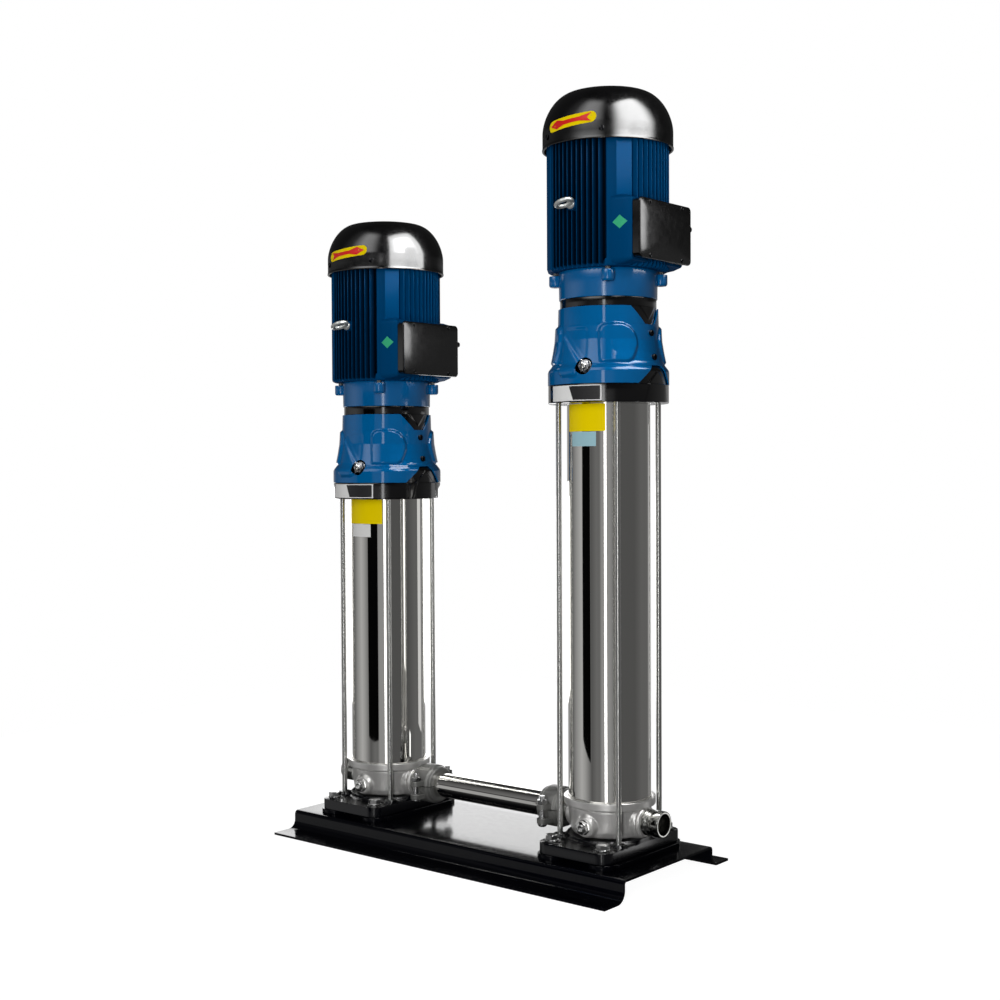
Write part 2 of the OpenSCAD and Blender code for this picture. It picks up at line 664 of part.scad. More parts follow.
// The hourglass shape of the two columns, as a prism along X
module hourglass() translate([0, 0, guard_z]) rotate([90, 0, 90])
    linear_extrude(4 * ring_r, center = true) polygon([
        [-skirt_half_w - column_lip, 0], [skirt_half_w + column_lip, 0],
        [waist_half_w + 2 * column_lip, waist_low], [waist_half_w + 2 * column_lip, waist_high],
        [notch_half_w + column_lip, guard_h], [-notch_half_w - column_lip, guard_h],
        [-waist_half_w - 2 * column_lip, waist_high], [-waist_half_w - 2 * column_lip, waist_low]
    ]);
module motor_stool(side) color("#17181a") upper(side) difference() {
    union() {
        rotate_extrude() polygon([
            [sleeve_r + seat_fit, 0], [ring_r - 2, 0], [ring_r, 2], [ring_r, ring_h],
            [seal_bore_r, ring_h], [seal_bore_r, sleeve_seat], [sleeve_r + seat_fit, sleeve_seat]
        ]);
        intersection() {
            guard_skin(-guard_t - seat_fit, guard_t + seat_fit + column_t);
            hourglass();
        }
        translate([0, 0, stool_top_z]) tube(stool_top_h, stool_top_r, coupling_r + 14);
        facing(vent_azimuth) translate([0, -vent_boss_reach, ring_h - 1])
            cylinder(h = vent_z + vent_boss_r - ring_h, r = vent_boss_r);
        facing(vent_azimuth) translate([0, 0, vent_z]) spoke(vent_boss_reach, vent_face, vent_body_r + 1.5);
    }
    at_rods() translate([0, 0, -1]) cylinder(h = ring_h + 2, r = rod_r + seat_fit);
    at_flange_screws() translate([0, 0, stool_top_z - 1]) cylinder(h = stool_top_h + 2, r = m8_r + seat_fit);
    facing(vent_azimuth) translate([0, 0, vent_z])
        spoke(vent_boss_reach - 4, vent_face + 1, vent_body_r - 2 + running_fit);
    for (x = [-1, 1], z = guard_screw_z) facing(x * 90) translate([0, 0, guard_z + z])
        spoke(guard_top_r - 2 * column_t, ring_r, small_screw_r + running_fit);
}
// Outline of a guard panel: a plate with one round flank, in degrees and millimetres
function round_panel() = concat(
    [[-32, 31], [-32, 82]], arc(-23.5, 85, 8.5, 180, 100, 4), [[-7, 96]],
    arc(2, 65, 31, 84, -10, 9), [[28, 45]], arc(15.5, 42.5, 11.5, -20, -90, 4)
);
function wedge_panel() = [[-32, 82], [-27, 82], [9, 38], [13, 27], [11, 13], [5, 9], [-20, 9], [-28, 16]];
module panel(azimuth, outline, flip) intersection() {
    guard_skin(panel_lift, guard_t / 2);
    facing(azimuth) translate([0, -guard_mid_r / 2, guard_z]) rotate([90, 0, 0])
        linear_extrude(ring_r) polygon(flip ? mirrored(outline) : outline);
}
module guard_half(front) difference() {
    intersection() {
        union() {
            guard_skin(0, guard_t);
            panel(front ? 46 : 134, round_panel(), !front);
            panel(front ? -50 : 230, round_panel(), front);
            panel(front ? 0 : 180, wedge_panel(), !front);
        }
        facing(seam_azimuth) translate([-2 * ring_r, front ? -2 * ring_r : seam_gap, 0])
            cube([4 * ring_r, 2 * ring_r, 2 * (guard_z + guard_h)]);
    }
    translate([0, 0, guard_z]) rotate([90, 0, 90]) linear_extrude(4 * ring_r, center = true) {
        polygon([
            [-skirt_half_w, -1], [skirt_half_w, -1], [skirt_half_w, 0],
            [waist_half_w, waist_low], [-waist_half_w, waist_low], [-skirt_half_w, 0]
        ]);
        polygon([
            [-waist_half_w, waist_high], [waist_half_w, waist_high], [notch_half_w, guard_h],
            [notch_half_w, guard_h + 1], [-notch_half_w, guard_h + 1], [-notch_half_w, guard_h]
        ]);
    }
    for (x = [-1, 1], z = guard_screw_z) facing(x * 90) translate([0, 0, guard_z + z])
        spoke(guard_mid_r - 10, ring_r + 5, small_screw_r + seat_fit);
    if (front) facing(vent_azimuth) translate([0, 0, vent_z])
        spoke(guard_mid_r - 10, ring_r + 5, vent_hole_r);
}
module guard_front(side) color("#0b5d9e") upper(side) guard_half(true);
module guard_rear(side) color("#0b5d9e") upper(side) guard_half(false);
// Radius of the guard's skin at one of the screw levels
function guard_r_at(z) = lookup(z, [for (p = guard_curve(0)) [p[1], p[0]]]);
module casing_screws() color("#1b1c1e") for (side = sides) upper(side) {
    for (x = [-1, 1], z = guard_screw_z) facing(x * 90) translate([0, 0, guard_z + z]) {
        spoke(guard_r_at(z) - column_t, guard_r_at(z - small_head_r) + 0.2, small_screw_r);
        spoke(guard_r_at(z - small_head_r) + 0.1, guard_r_at(z - small_head_r) + 0.1 + small_head_h, small_head_r);
    }
    for (a = cowl_screw_azimuths) facing(a) translate([0, 0, shield_screw_z]) {
        spoke(cowl_r - 14, cowl_r + 0.1, small_screw_r);
        spoke(cowl_r, cowl_r + 2, small_head_r - 1);
    }
    for (a = quarters) facing(a) translate([0, -shield_screw_r, housing_top_z]) {
        translate([0, 0, -10]) cylinder(h = 11 + end_shield_t, r = small_screw_r);
        translate([0, 0, end_shield_t]) hex(4, 2 * small_head_r);
    }
    at_cover_screws() {
        translate([0, 0, -cover_t - 5]) cylinder(h = cover_t + 5.1, r = cover_screw_r);
        cylinder(h = cover_head_h, r = cover_head_r);
    }
}
module at_cover_screws() for (y = [-1, 1], z = [cover_screw_edge, box_h - cover_screw_edge])
    translate([box_reach, y * cover_screw_y, box_z + z]) rotate([0, 90, 0]) children();
module vent_plugs() color("#cfd2d4") for (side = sides) upper(side)
    facing(vent_azimuth) translate([0, 0, vent_z]) difference() {
        union() {
            spoke(vent_boss_reach - 3, vent_face, vent_body_r - 2);
            hex_spoke(vent_face, vent_face + vent_head_l, vent_body_r);
        }
        spoke(vent_face - vent_screw_l, vent_face + vent_head_l + 1, vent_screw_r + running_fit);
    }
module vent_screw(side) color("#e3e5e6") upper(side) facing(vent_azimuth) translate([0, 0, vent_z]) {
    spoke(vent_face - vent_screw_l + 1, vent_face + vent_head_l + seat_fit, vent_screw_r);
    spoke(vent_face + vent_head_l + seat_fit, vent_face + vent_head_l + seat_fit + 4, vent_cap_r);
    translate([0, -vent_face - vent_head_l - 5, 0]) cube([1.6, 6, 2 * vent_cap_r + 3], center = true);
}

// Shaft coupling: two half shells with four socket screws
module shaft_coupling(side) color("#6b6e70") upper(side) {
    for (y = [-1, 1]) difference() {
        intersection() {
            translate([0, 0, coupling_z]) cylinder(h = coupling_l, r = coupling_r);
            translate([-2 * coupling_r, y > 0 ? 0.5 : -2 * coupling_r - 0.5, coupling_z - 1])
                cube([4 * coupling_r, 2 * coupling_r, coupling_l + 2]);
        }
        translate([0, 0, coupling_z - 1]) cylinder(h = coupling_l + 2, r = shaft_r + running_fit);
        translate([0, 0, shaft_meet_z]) cylinder(h = coupling_l, r = motor_end_r + running_fit);
        for (x = [-1, 1], z = [0.2, 0.8])
            translate([x * coupling_screw_x, 0, coupling_z + z * coupling_l]) rotate([90, 0, 0]) {
                cylinder(h = 100, r = coupling_screw_r + running_fit, center = true);
                translate([0, 0, 9]) cylinder(h = 50, r = coupling_screw_r * 1.7);
                translate([0, 0, -59]) cylinder(h = 50, r = coupling_screw_r * 1.7);
            }
    }
    for (x = [-1, 1], z = [0.2, 0.8])
        translate([x * coupling_screw_x, 0, coupling_z + z * coupling_l]) rotate([90, 0, 0]) {
            translate([0, 0, -12]) cylinder(h = 21, r = coupling_screw_r);
            translate([0, 0, 9]) cylinder(h = 5, r = coupling_screw_r * 1.55);
            translate([0, 0, -13]) cylinder(h = 4, r = coupling_screw_r * 1.6, $fn = 6);
        }
}

// Motor flange: a drum with a bearing hub and four lugs
module at_flange_lugs() for (i = [0:3]) facing(lug_azimuth + 90 * i)
    translate([0, -lug_circle_r, 0]) children();
module at_flange_screws() for (a = flange_screw_azimuths) facing(a)
    translate([0, -flange_screw_r, 0]) children();
module motor_flange(side) color("#0b5d9e") upper(side) difference() {
    union() {
        rotate_extrude() polygon([
            [coupling_r + 14, drum_z], [drum_r - 1, drum_z], [drum_r, drum_z + 1],
            [drum_r, housing_z], [drum_r - drum_wall, housing_z],
            [drum_r - drum_wall, low_bearing_z + 7], [bearing_r + 6, low_bearing_z + 7],
            [bearing_r + 6, low_bearing_z + bearing_h + 2],
            [bearing_r + seat_fit / 3, low_bearing_z + bearing_h + 2],
            [bearing_r + seat_fit / 3, low_bearing_z], [motor_shaft_r + 4, low_bearing_z],
            [motor_shaft_r + 4, low_bearing_z - 4], [drum_r - drum_wall, low_bearing_z - 4],
            [drum_r - drum_wall, drum_z + 7], [coupling_r + 14, drum_z + 7]
        ]);
        at_flange_lugs() translate([0, 0, flange_lug_z]) cylinder(h = flange_lug_h, r = flange_lug_r);
    }
    at_flange_lugs() translate([0, 0, flange_lug_z - 1]) {
        cylinder(h = flange_lug_h + 2, r = m8_r + seat_fit);
        cylinder(h = 8, r = m8_cap_r + seat_fit);
    }
    at_flange_screws() translate([0, 0, drum_z - 1]) cylinder(h = 9, r = m8_r + seat_fit);
}
module flange_bolts() color("#8f9294") for (side = sides) upper(side) {
    at_flange_lugs() translate([0, 0, flange_lug_z]) {
        translate([0, 0, 1]) cylinder(h = 6, r = m8_cap_r);
        cylinder(h = flange_lug_h + 4.5 + 11, r = m8_r);
    }
    at_flange_screws() {
        translate([0, 0, stool_top_z - m8_head_h]) hex(m8_head_h, m8_af);
        translate([0, 0, stool_top_z - 1]) cylinder(h = stool_top_h + 15, r = m8_r);
        translate([0, 0, drum_z + 7]) hex(m8_nut_h, m8_af);
    }
}

// Finned housing: parallel fins on four sides and a faceted pad at each corner
function fin_points(x) = let (root = sqrt(pow(fin_root_r, 2) - x * x), tip = sqrt(pow(fin_r, 2) - x * x))
    [[x - fin_t / 2, -root], [x - fin_t / 2 + 0.4, -tip], [x + fin_t / 2 - 0.4, -tip], [x + fin_t / 2, -root]];
function corner_points() = let (
    root = sqrt(pow(fin_root_r, 2) - pow(corner_x, 2)),
    rim = sqrt(pow(fin_r - 0.5, 2) - pow(corner_x, 2))
) [[corner_x - 0.4, -root], [corner_x, -rim], polar(fin_r + 0.2, 44), [rim, -corner_x], [root, 0.4 - corner_x]];
function quarter_outline() = concat(
    [for (i = [0:fin_count - 1]) each fin_points((i - (fin_count - 1) / 2) * fin_pitch)],
    corner_points()
);
function turned(points, a) = [for (p = points) [p[0] * cos(a) - p[1] * sin(a), p[0] * sin(a) + p[1] * cos(a)]];
module stator_housing(side) color("#0a4f88") upper(side) difference() {
    union() {
        translate([0, 0, housing_z]) linear_extrude(housing_h)
            polygon([for (q = [0:3]) each turned(quarter_outline(), 90 * q)]);
        translate([0, 0, box_z - 3]) linear_extrude(box_h + 6) polygon([
            [box_seat - 40, -box_w / 2 - 8], [box_seat, -box_w / 2], [box_seat, box_w / 2],
            [box_seat - 40, box_w / 2 + 8]
        ]);
        translate([0, 0, eye_z]) spoke(fin_root_r - 5, fin_r + 1, 9);
        at_flange_lugs() translate([0, 0, housing_z]) cylinder(h = 14, r = 9);
    }
    translate([0, 0, housing_z - 1]) cylinder(h = housing_h + 2, r = housing_bore_r);
    translate([box_seat, -box_w / 2 - 12, box_z - 3]) cube([20, box_w + 24, box_h + 6]);
    at_flange_lugs() translate([0, 0, housing_z - 1]) cylinder(h = 13, r = m8_r + running_fit);
    translate([0, 0, eye_z]) spoke(fin_r - 12, fin_r + 2, m8_r + running_fit);
    translate([0, 0, box_z + box_h / 2]) rotate([0, 90, 0]) cylinder(h = 2 * box_seat, r = 14);
    for (a = quarters) facing(a) translate([0, -shield_screw_r, housing_top_z - 12])
        cylinder(h = 13, r = small_screw_r + running_fit);
}
module stator_core(side) upper(side) {
    color("#7d7468") translate([0, 0, core_z]) tube(core_h, core_r, rotor_r + air_gap);
    color("#b5652b") for (z = [core_z - winding_h, core_z + core_h])
        translate([0, 0, z]) tube(winding_h, core_r - 4, rotor_r + 3);
}
module motor_rotor(side) color("#a5a8aa") upper(side) rotate_extrude() polygon([
    [0, shaft_meet_z + 1], [motor_end_r, shaft_meet_z + 1], [motor_end_r, drum_z],
    [motor_shaft_r, drum_z], [motor_shaft_r, core_z - 4], [motor_shaft_r + 4, core_z - 4],
    [motor_shaft_r + 4, core_z], [rotor_r, core_z], [rotor_r, core_z + core_h],
    [motor_shaft_r + 4, core_z + core_h], [motor_shaft_r + 4, core_z + core_h + 6],
    [motor_shaft_r, core_z + core_h + 6], [motor_shaft_r, shaft_top_z], [0, shaft_top_z]
]);
module motor_bearings() color("#b4b7ba") for (side = sides, z = [low_bearing_z, high_bearing_z])
    upper(side) translate([0, 0, z]) difference() {
        tube(bearing_h, bearing_r, motor_shaft_r + running_fit);
        for (face = [-1, bearing_h - 1]) translate([0, 0, face])
            tube(2, bearing_r - 3.5, motor_shaft_r + 3.5);
    }
module end_shield(side) color("#0a4f88") upper(side) difference() {
    union() {
        rotate_extrude() polygon([
            [motor_shaft_r + 1, housing_top_z + end_shield_t], [housing_bore_r + 17, housing_top_z + end_shield_t],
            [housing_bore_r + 17, housing_top_z], [housing_bore_r - 0.2, housing_top_z],
            [housing_bore_r - 0.2, housing_top_z - 5], [housing_bore_r - 5, housing_top_z - 5],
            [housing_bore_r - 5, housing_top_z - 1], [bearing_r + 6, housing_top_z - 1],
            [bearing_r + 6, high_bearing_z - 2], [bearing_r + seat_fit / 3, high_bearing_z - 2],
            [bearing_r + seat_fit / 3, high_bearing_z + bearing_h], [motor_shaft_r + 1, high_bearing_z + bearing_h]
        ]);
        intersection() {
            translate([0, 0, housing_top_z]) cylinder(h = shield_lug_h, r = cowl_bore_r - 0.1);
            for (a = cowl_screw_azimuths) facing(a)
                translate([-8, -2 * cowl_r - fan_r - 3, housing_top_z]) cube([16, 2 * cowl_r, shield_lug_h]);
        }
    }
    for (a = quarters) facing(a) translate([0, -shield_screw_r, housing_top_z - 1])
        cylinder(h = end_shield_t + 2, r = small_screw_r + seat_fit);
    for (a = cowl_screw_azimuths) facing(a) translate([0, 0, shield_screw_z])
        spoke(cowl_r - 15, cowl_r, small_screw_r + running_fit);
}

// Fan: straight blades on a hub, so that it blows the same either way round
module fan(side) color("#2a2c2f") upper(side) translate([0, 0, fan_z]) difference() {
    union() {
        cylinder(h = 18, r = fan_hub_r);
        cylinder(h = 2.5, r = fan_r * 0.62);
        for (i = [0:blade_count - 1]) rotate([0, 0, i * 360 / blade_count]) rotate([90, 0, 0])
            linear_extrude(2.2, center = true) polygon([
                [fan_hub_r - 2, 0], [fan_r * 0.62, 0], [fan_r, 8], [fan_r, blade_h - 4],
                [fan_r - 6, blade_h], [fan_hub_r + 6, blade_h * 0.7], [fan_hub_r - 2, blade_h * 0.5]
            ]);
    }
    translate([0, 0, -1]) cylinder(h = 20, r = motor_shaft_r + running_fit);
}
// The cowl's shoulder is a quarter of an oval that runs into a flat top
function dome(inset, n) = [for (i = [0:n]) let (a = 90 * i / n) [
    cowl_flat_r + (cowl_r - inset - cowl_flat_r) * pow(cos(a), dome_power),
    cowl_skirt + (cowl_h - inset - cowl_skirt) * pow(sin(a), dome_power)
]];
module fan_cowl(side) color("#0d0d0f") upper(side) translate([0, 0, cowl_z]) difference() {
    rotate_extrude() polygon(concat(
        [[cowl_bore_r, 0], [cowl_r + 0.7, 0], [cowl_r + 0.7, 2], [cowl_r, 4]], dome(0, 16),
        [[0, cowl_h], [0, cowl_h - cowl_wall]], reversed(dome(cowl_wall, 16))
    ));
    difference() {
        for (r = slot_radii) translate([0, 0, cowl_skirt]) tube(cowl_h, r + grille_slot, r);
        for (a = [0:60:179]) rotate([0, 0, a]) translate([-cowl_flat_r, -grille_web / 2, 0])
            cube([2 * cowl_flat_r, grille_web, 2 * cowl_h]);
    }
    for (a = cowl_screw_azimuths) facing(a) translate([0, 0, shield_screw_z - cowl_z])
        spoke(cowl_r - 10, cowl_r + 10, small_screw_r + seat_fit);
}

// Terminal box on the +X side
module box_slab(from, to, w, h) translate([from, 0, box_z + box_h / 2]) rotate([90, 0, 90])
    linear_extrude(to - from) rounded_square(w, h, box_corner_r);
module terminal_box(side) color("#0f0f11") upper(side) difference() {
    box_slab(box_seat, box_reach - cover_t, box_w - 2, box_h - 2);
    box_slab(box_seat + 2.5, box_reach, box_w - 14, box_h - 14);
    translate([box_seat - 1, 0, box_z + box_h / 2]) rotate([0, 90, 0]) cylinder(h = 5, r = 14);
    translate([gland_x, box_w / 2 - 8, box_z + gland_rise]) rotate([-90, 0, 0])
        cylinder(h = 10, r = gland_neck_r + running_fit);
    at_cover_screws() translate([0, 0, -cover_t - 6]) cylinder(h = 7, r = cover_screw_r + running_fit);
}
module terminal_cover(side) color("#0f0f11") upper(side) difference() {
    box_slab(box_reach - cover_t, box_reach, box_w, box_h);
    box_slab(box_reach - cover_t - 1, box_reach - 2, box_w - 14, box_h - 14);
    at_cover_screws() translate([0, 0, -cover_t - 1]) cylinder(h = cover_t + 2, r = cover_screw_r + seat_fit);
}
module cable_glands() color("#19191b") for (side = sides) upper(side)
    translate([gland_x, box_w / 2 - 1, box_z + gland_rise]) rotate([-90, 0, 0])
        difference() {
            union() {
                translate([0, 0, -5]) cylinder(h = 6, r = gland_neck_r);
                cylinder(h = 5, r = gland_hex_r, $fn = 6);
                translate([0, 0, 4]) cylinder(h = 8, r = gland_hex_r - 1);
            }
            translate([0, 0, 9]) cylinder(h = 4, r = gland_neck_r - 0.8);
        }

// Lifting eye: a ring in a plane that holds the bolt's axis, turned about it
module eye_bolts() color("#e6e8e9") for (side = sides) upper(side) translate([0, 0, eye_z]) {
    spoke(fin_r - 11, fin_r + 2, m8_r);
    spoke(fin_r + 1, fin_r + 4, 7);
    translate([0, -fin_r - 3 - eye_ring_r - eye_wire_r, 0]) rotate([0, eye_tilt, 0])
        rotate_extrude() translate([eye_ring_r, 0]) circle(r = eye_wire_r);
}

module left_foot() foot(left);
module left_head() head(left);
module left_outer_sleeve() outer_sleeve(left);
module left_impellers() impellers(left);
module left_pump_shaft() pump_shaft(left);
module left_seal_ring() seal_ring(left);
module left_motor_stool() motor_stool(left);
module left_guard_front() guard_front(left);
module left_guard_rear() guard_rear(left);
module left_shaft_coupling() shaft_coupling(left);
module left_motor_flange() motor_flange(left);
module left_stator_housing() stator_housing(left);
module left_stator_core() stator_core(left);
module left_motor_rotor() motor_rotor(left);
module left_end_shield() end_shield(left);
module left_fan() fan(left);
module left_fan_cowl() fan_cowl(left);
module left_terminal_box() terminal_box(left);
module left_terminal_cover() terminal_cover(left);
module left_vent_screw() vent_screw(left);
module right_foot() foot(right);
module right_head() head(right);
module right_outer_sleeve() outer_sleeve(right);
module right_impellers() impellers(right);
module right_pump_shaft() pump_shaft(right);
module right_seal_ring() seal_ring(right);
module right_motor_stool() motor_stool(right);
module right_guard_front() guard_front(right);
module right_guard_rear() guard_rear(right);
module right_shaft_coupling() shaft_coupling(right);
module right_motor_flange() motor_flange(right);
module right_stator_housing() stator_housing(right);
module right_stator_core() stator_core(right);
module right_motor_rotor() motor_rotor(right);
module right_end_shield() end_shield(right);
module right_fan() fan(right);
module right_fan_cowl() fan_cowl(right);
module right_terminal_box() terminal_box(right);
module right_terminal_cover() terminal_cover(right);
module right_vent_screw() vent_screw(right);

base_frame();
foot_plates();
crossover_pipe();
clamp_upper_halves();
clamp_lower_halves();
clamp_fasteners();
rubber_seals();
anchor_fasteners();
drain_plugs();
vent_plugs();
tie_rods();
tie_rod_nuts();
stage_chambers();
shaft_bushes();
seal_seats();
motor_bearings();
flange_bolts();
casing_screws();
cable_glands();
eye_bolts();
left_foot();
left_head();
left_outer_sleeve();
left_impellers();
left_pump_shaft();
left_seal_ring();
left_motor_stool();
left_guard_front();
left_guard_rear();
left_shaft_coupling();
left_motor_flange();
left_stator_housing();
left_stator_core();
left_motor_rotor();
left_end_shield();
left_fan();
left_fan_cowl();
left_terminal_box();
left_terminal_cover();
left_vent_screw();
right_foot();
right_head();
right_outer_sleeve();
right_impellers();
right_pump_shaft();
right_seal_ring();
right_motor_stool();
right_guard_front();
right_guard_rear();
right_shaft_coupling();
right_motor_flange();
right_stator_housing();
right_stator_core();
right_motor_rotor();
right_end_shield();
right_fan();
right_fan_cowl();
right_terminal_box();
right_terminal_cover();
right_vent_screw();
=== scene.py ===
import json
import math

import bmesh
import bpy
import numpy as np
from mathutils import Matrix, Vector


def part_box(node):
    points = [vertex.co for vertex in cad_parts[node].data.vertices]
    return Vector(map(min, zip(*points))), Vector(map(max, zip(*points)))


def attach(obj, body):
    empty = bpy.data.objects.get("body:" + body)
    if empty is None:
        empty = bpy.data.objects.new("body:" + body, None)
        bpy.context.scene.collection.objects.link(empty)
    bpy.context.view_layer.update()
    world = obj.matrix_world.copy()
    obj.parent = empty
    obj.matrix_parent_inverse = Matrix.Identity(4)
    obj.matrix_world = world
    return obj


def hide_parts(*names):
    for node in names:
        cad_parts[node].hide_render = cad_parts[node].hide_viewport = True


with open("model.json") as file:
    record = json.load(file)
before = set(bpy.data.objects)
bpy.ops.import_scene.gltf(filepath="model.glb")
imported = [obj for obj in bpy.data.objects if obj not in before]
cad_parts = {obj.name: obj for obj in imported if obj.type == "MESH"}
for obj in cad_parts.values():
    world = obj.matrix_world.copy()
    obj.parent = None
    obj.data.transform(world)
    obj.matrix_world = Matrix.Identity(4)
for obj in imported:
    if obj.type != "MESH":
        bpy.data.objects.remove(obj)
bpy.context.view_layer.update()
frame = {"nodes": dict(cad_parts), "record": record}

mm = 0.001
rootBody = "pump_set"
nodes = frame["nodes"]

# where the pumps stand: each axis and the level of its stool's ring, read from the frame, in mm
pumps = {}
for side in ("left", "right"):
    low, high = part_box(side + "_motor_stool")
    pumps[side] = {"x": 500 * (low.x + high.x), "ring": 1000 * low.z}
print("stage: frame loaded", {side: (round(p["x"], 1), round(p["ring"], 1)) for side, p in pumps.items()})


# Meshes. A part is a pair (points in mm, faces); a piece is one object made of parts.

# A grid of points with rows and columns gives one quad for each cell, shifted by start.
def gridFaces(rows, columns, closeRows=False, closeColumns=False, start=0):
    i, j = np.meshgrid(np.arange(rows if closeRows else rows - 1),
                       np.arange(columns if closeColumns else columns - 1), indexing="ij")
    nextI, nextJ = (i + 1) % rows, (j + 1) % columns
    quads = np.stack([i * columns + j, i * columns + nextJ, nextI * columns + nextJ, nextI * columns + j], -1)
    return quads.reshape(-1, 4) + start


# A closed shell's volume is the sum of its tetrahedra about the origin, and its sign is the faces' side.
def outward(points, faces):
    volume = 0.0
    for size in set(len(f) for f in faces):
        f = np.array([g for g in faces if len(g) == size])
        for k in range(1, size - 1):
            a, b, c = points[f[:, 0]], points[f[:, k]], points[f[:, k + 1]]
            volume += np.einsum("ij,ij->", a, np.cross(b, c))
    return (points, faces) if volume > 0 else (points, [tuple(f[::-1]) for f in faces])


# Closed rings of points joined one to the next, with flat caps, or the last to the first when looped.
def loft(rings, capped=True, looped=False):
    rings = np.asarray(rings, float)
    count, around = rings.shape[:2]
    faces = [tuple(q) for q in gridFaces(count, around, looped, True).tolist()]
    if capped and not looped:
        faces.append(tuple(range(around))[::-1])
        faces.append(tuple(range((count - 1) * around, count * around)))
    return outward(rings.reshape(-1, 3), faces)


# Two grids of the same size, an outer and an inner skin, closed along all four edges.
def slab(outer, inner):
    rows, columns = outer.shape[:2]
    count = rows * columns
    index = np.arange(count).reshape(rows, columns)
    rim = np.concatenate([index[0, :-1], index[:-1, -1], index[-1, :0:-1], index[:0:-1, 0]])
    skin = gridFaces(rows, columns)
    edge = np.stack([rim + count, np.roll(rim, -1) + count, np.roll(rim, -1), rim], -1)
    faces = np.concatenate([skin, skin[:, ::-1] + count, edge])
    points = np.concatenate([outer.reshape(-1, 3), inner.reshape(-1, 3)])
    return outward(points, [tuple(f) for f in faces.tolist()])


# Two unit vectors square to an axis; the three form a right-handed set.
def axesFor(axis):
    w = np.asarray(axis, float) / np.linalg.norm(axis)
    helper = np.array([0.0, 0.0, 1.0]) if abs(w[2]) < 0.9 else np.array([1.0, 0.0, 0.0])
    u = np.cross(helper, w)
    u /= np.linalg.norm(u)
    return u, np.cross(w, u), w


# point = centre + r cos(a) u + r sin(a) v + h w, for a profile of (r, h) pairs; ripple(a, h) is added to r
def turned(profile, centre=(0, 0, 0), axis=(0, 0, 1), around=96, looped=False, ripple=None):
    profile = np.asarray(profile, float)
    a = np.linspace(0, 2 * np.pi, around, endpoint=False)
    u, v, w = axesFor(axis)
    h = profile[:, 1][:, None]
    r = profile[:, 0][:, None] + (ripple(a[None, :], h) if ripple else np.zeros((1, around)))
    rings = np.asarray(centre, float) + (r * np.cos(a))[..., None] * u + (r * np.sin(a))[..., None] * v
    return loft(rings + h[..., None] * w, looped=looped)


# x = r sin(azimuth), y = -r cos(azimuth): 0 degrees is the front (-Y) and 90 is +X
def polar(r, azimuth):
    a = np.radians(azimuth)
    return np.stack([r * np.sin(a), -r * np.cos(a)], -1)


# The shell between two radii, over one grid of azimuths and levels about a pump's axis.
def curvedShell(centreX, outer, inner, azimuth, level):
    z = np.broadcast_to(level, azimuth.shape)[..., None]
    return slab(*(np.concatenate([polar(r, azimuth) + [centreX, 0], z], -1) for r in (outer, inner)))


# 3 t^2 - 2 t^3, held at 0 below t = 0 and at 1 above t = 1
def smoothStep(t):
    t = np.clip(t, 0, 1)
    return t * t * (3 - 2 * t)


# Each corner P becomes the curve (1-t)^2 A + 2t(1-t) P + t^2 B, with A and B at most r away on its sides.
def softened(points, r, closed=False, steps=4):
    p = np.asarray(points, float)
    before, after = np.roll(p, 1, 0), np.roll(p, -1, 0)
    toBefore, toAfter = before - p, after - p
    lengthBefore = np.linalg.norm(toBefore, axis=1, keepdims=True) + 1e-9
    lengthAfter = np.linalg.norm(toAfter, axis=1, keepdims=True) + 1e-9
    a = p + toBefore * np.minimum(r / lengthBefore, 0.48)
    b = p + toAfter * np.minimum(r / lengthAfter, 0.48)
    t = np.linspace(0, 1, steps)[None, :, None]
    curve = (1 - t) ** 2 * a[:, None] + 2 * t * (1 - t) * p[:, None] + t ** 2 * b[:, None]
    if closed:
        return curve.reshape(-1, p.shape[1])
    return np.concatenate([p[:1], curve[1:-1].reshape(-1, p.shape[1]), p[-1:]])


# A solid disc or cylinder from one height to another, turned about an axis, with soft edges.
def disc(r, low, high, soft, centre, axis=(0, 0, 1), around=48):
    return turned(softened([(0, low), (r, low), (r, high), (0, high)], soft), centre, axis, around)


# A ring with a bore, turned from a closed loop of (r, h) pairs with soft corners.
def hoop(loop, soft, centre, axis=(0, 0, 1), around=96):
    return turned(softened(loop, soft, closed=True), centre, axis, around, looped=True)


# The loop of a plain ring: bore, radius and the two heights.
def square(bore, r, low, high):
    return [(bore, low), (r, low), (r, high), (bore, high)]


# A path with its long stretches cut into equal steps.
def finer(path, step):
    path = np.asarray(path, float)
    along = np.concatenate([[0], np.cumsum(np.linalg.norm(np.diff(path, axis=0), axis=1))])
    marks = np.unique(np.concatenate([along, np.arange(0, along[-1], step)]).round(4))
    return np.stack([np.interp(marks, along, path[:, k]) for k in range(path.shape[1])], -1)


# The same for a closed loop.
def finerLoop(loop, step):
    loop = np.asarray(loop, float)
    return finer(np.concatenate([loop, loop[:1]]), step)[:-1]


# Plan points (x, y) at a level z.
def atLevel(flat, z):
    return np.concatenate([flat, np.full((len(flat), 1), z)], 1)


# Rings of one plan outline at a list of (level, inset): each point moves inwards along the outline's normal.
def pressed(outline, levels, lift=atLevel):
    outline = np.asarray(outline, float)
    along = np.roll(outline, -1, 0) - np.roll(outline, 1, 0)
    along /= np.linalg.norm(along, axis=1, keepdims=True) + 1e-9
    winding = np.sum(outline[:, 0] * np.roll(outline[:, 1], -1) - outline[:, 1] * np.roll(outline[:, 0], -1))
    inward = np.stack([-along[:, 1], along[:, 0]], -1) * np.sign(winding)
    return loft([lift(outline + inset * inward, z) for z, inset in levels])


# The matrix that turns plan points written as rows by an angle in radians.
def turn(angle):
    c, s = math.cos(angle), math.sin(angle)
    return np.array([[c, s], [-s, c]])


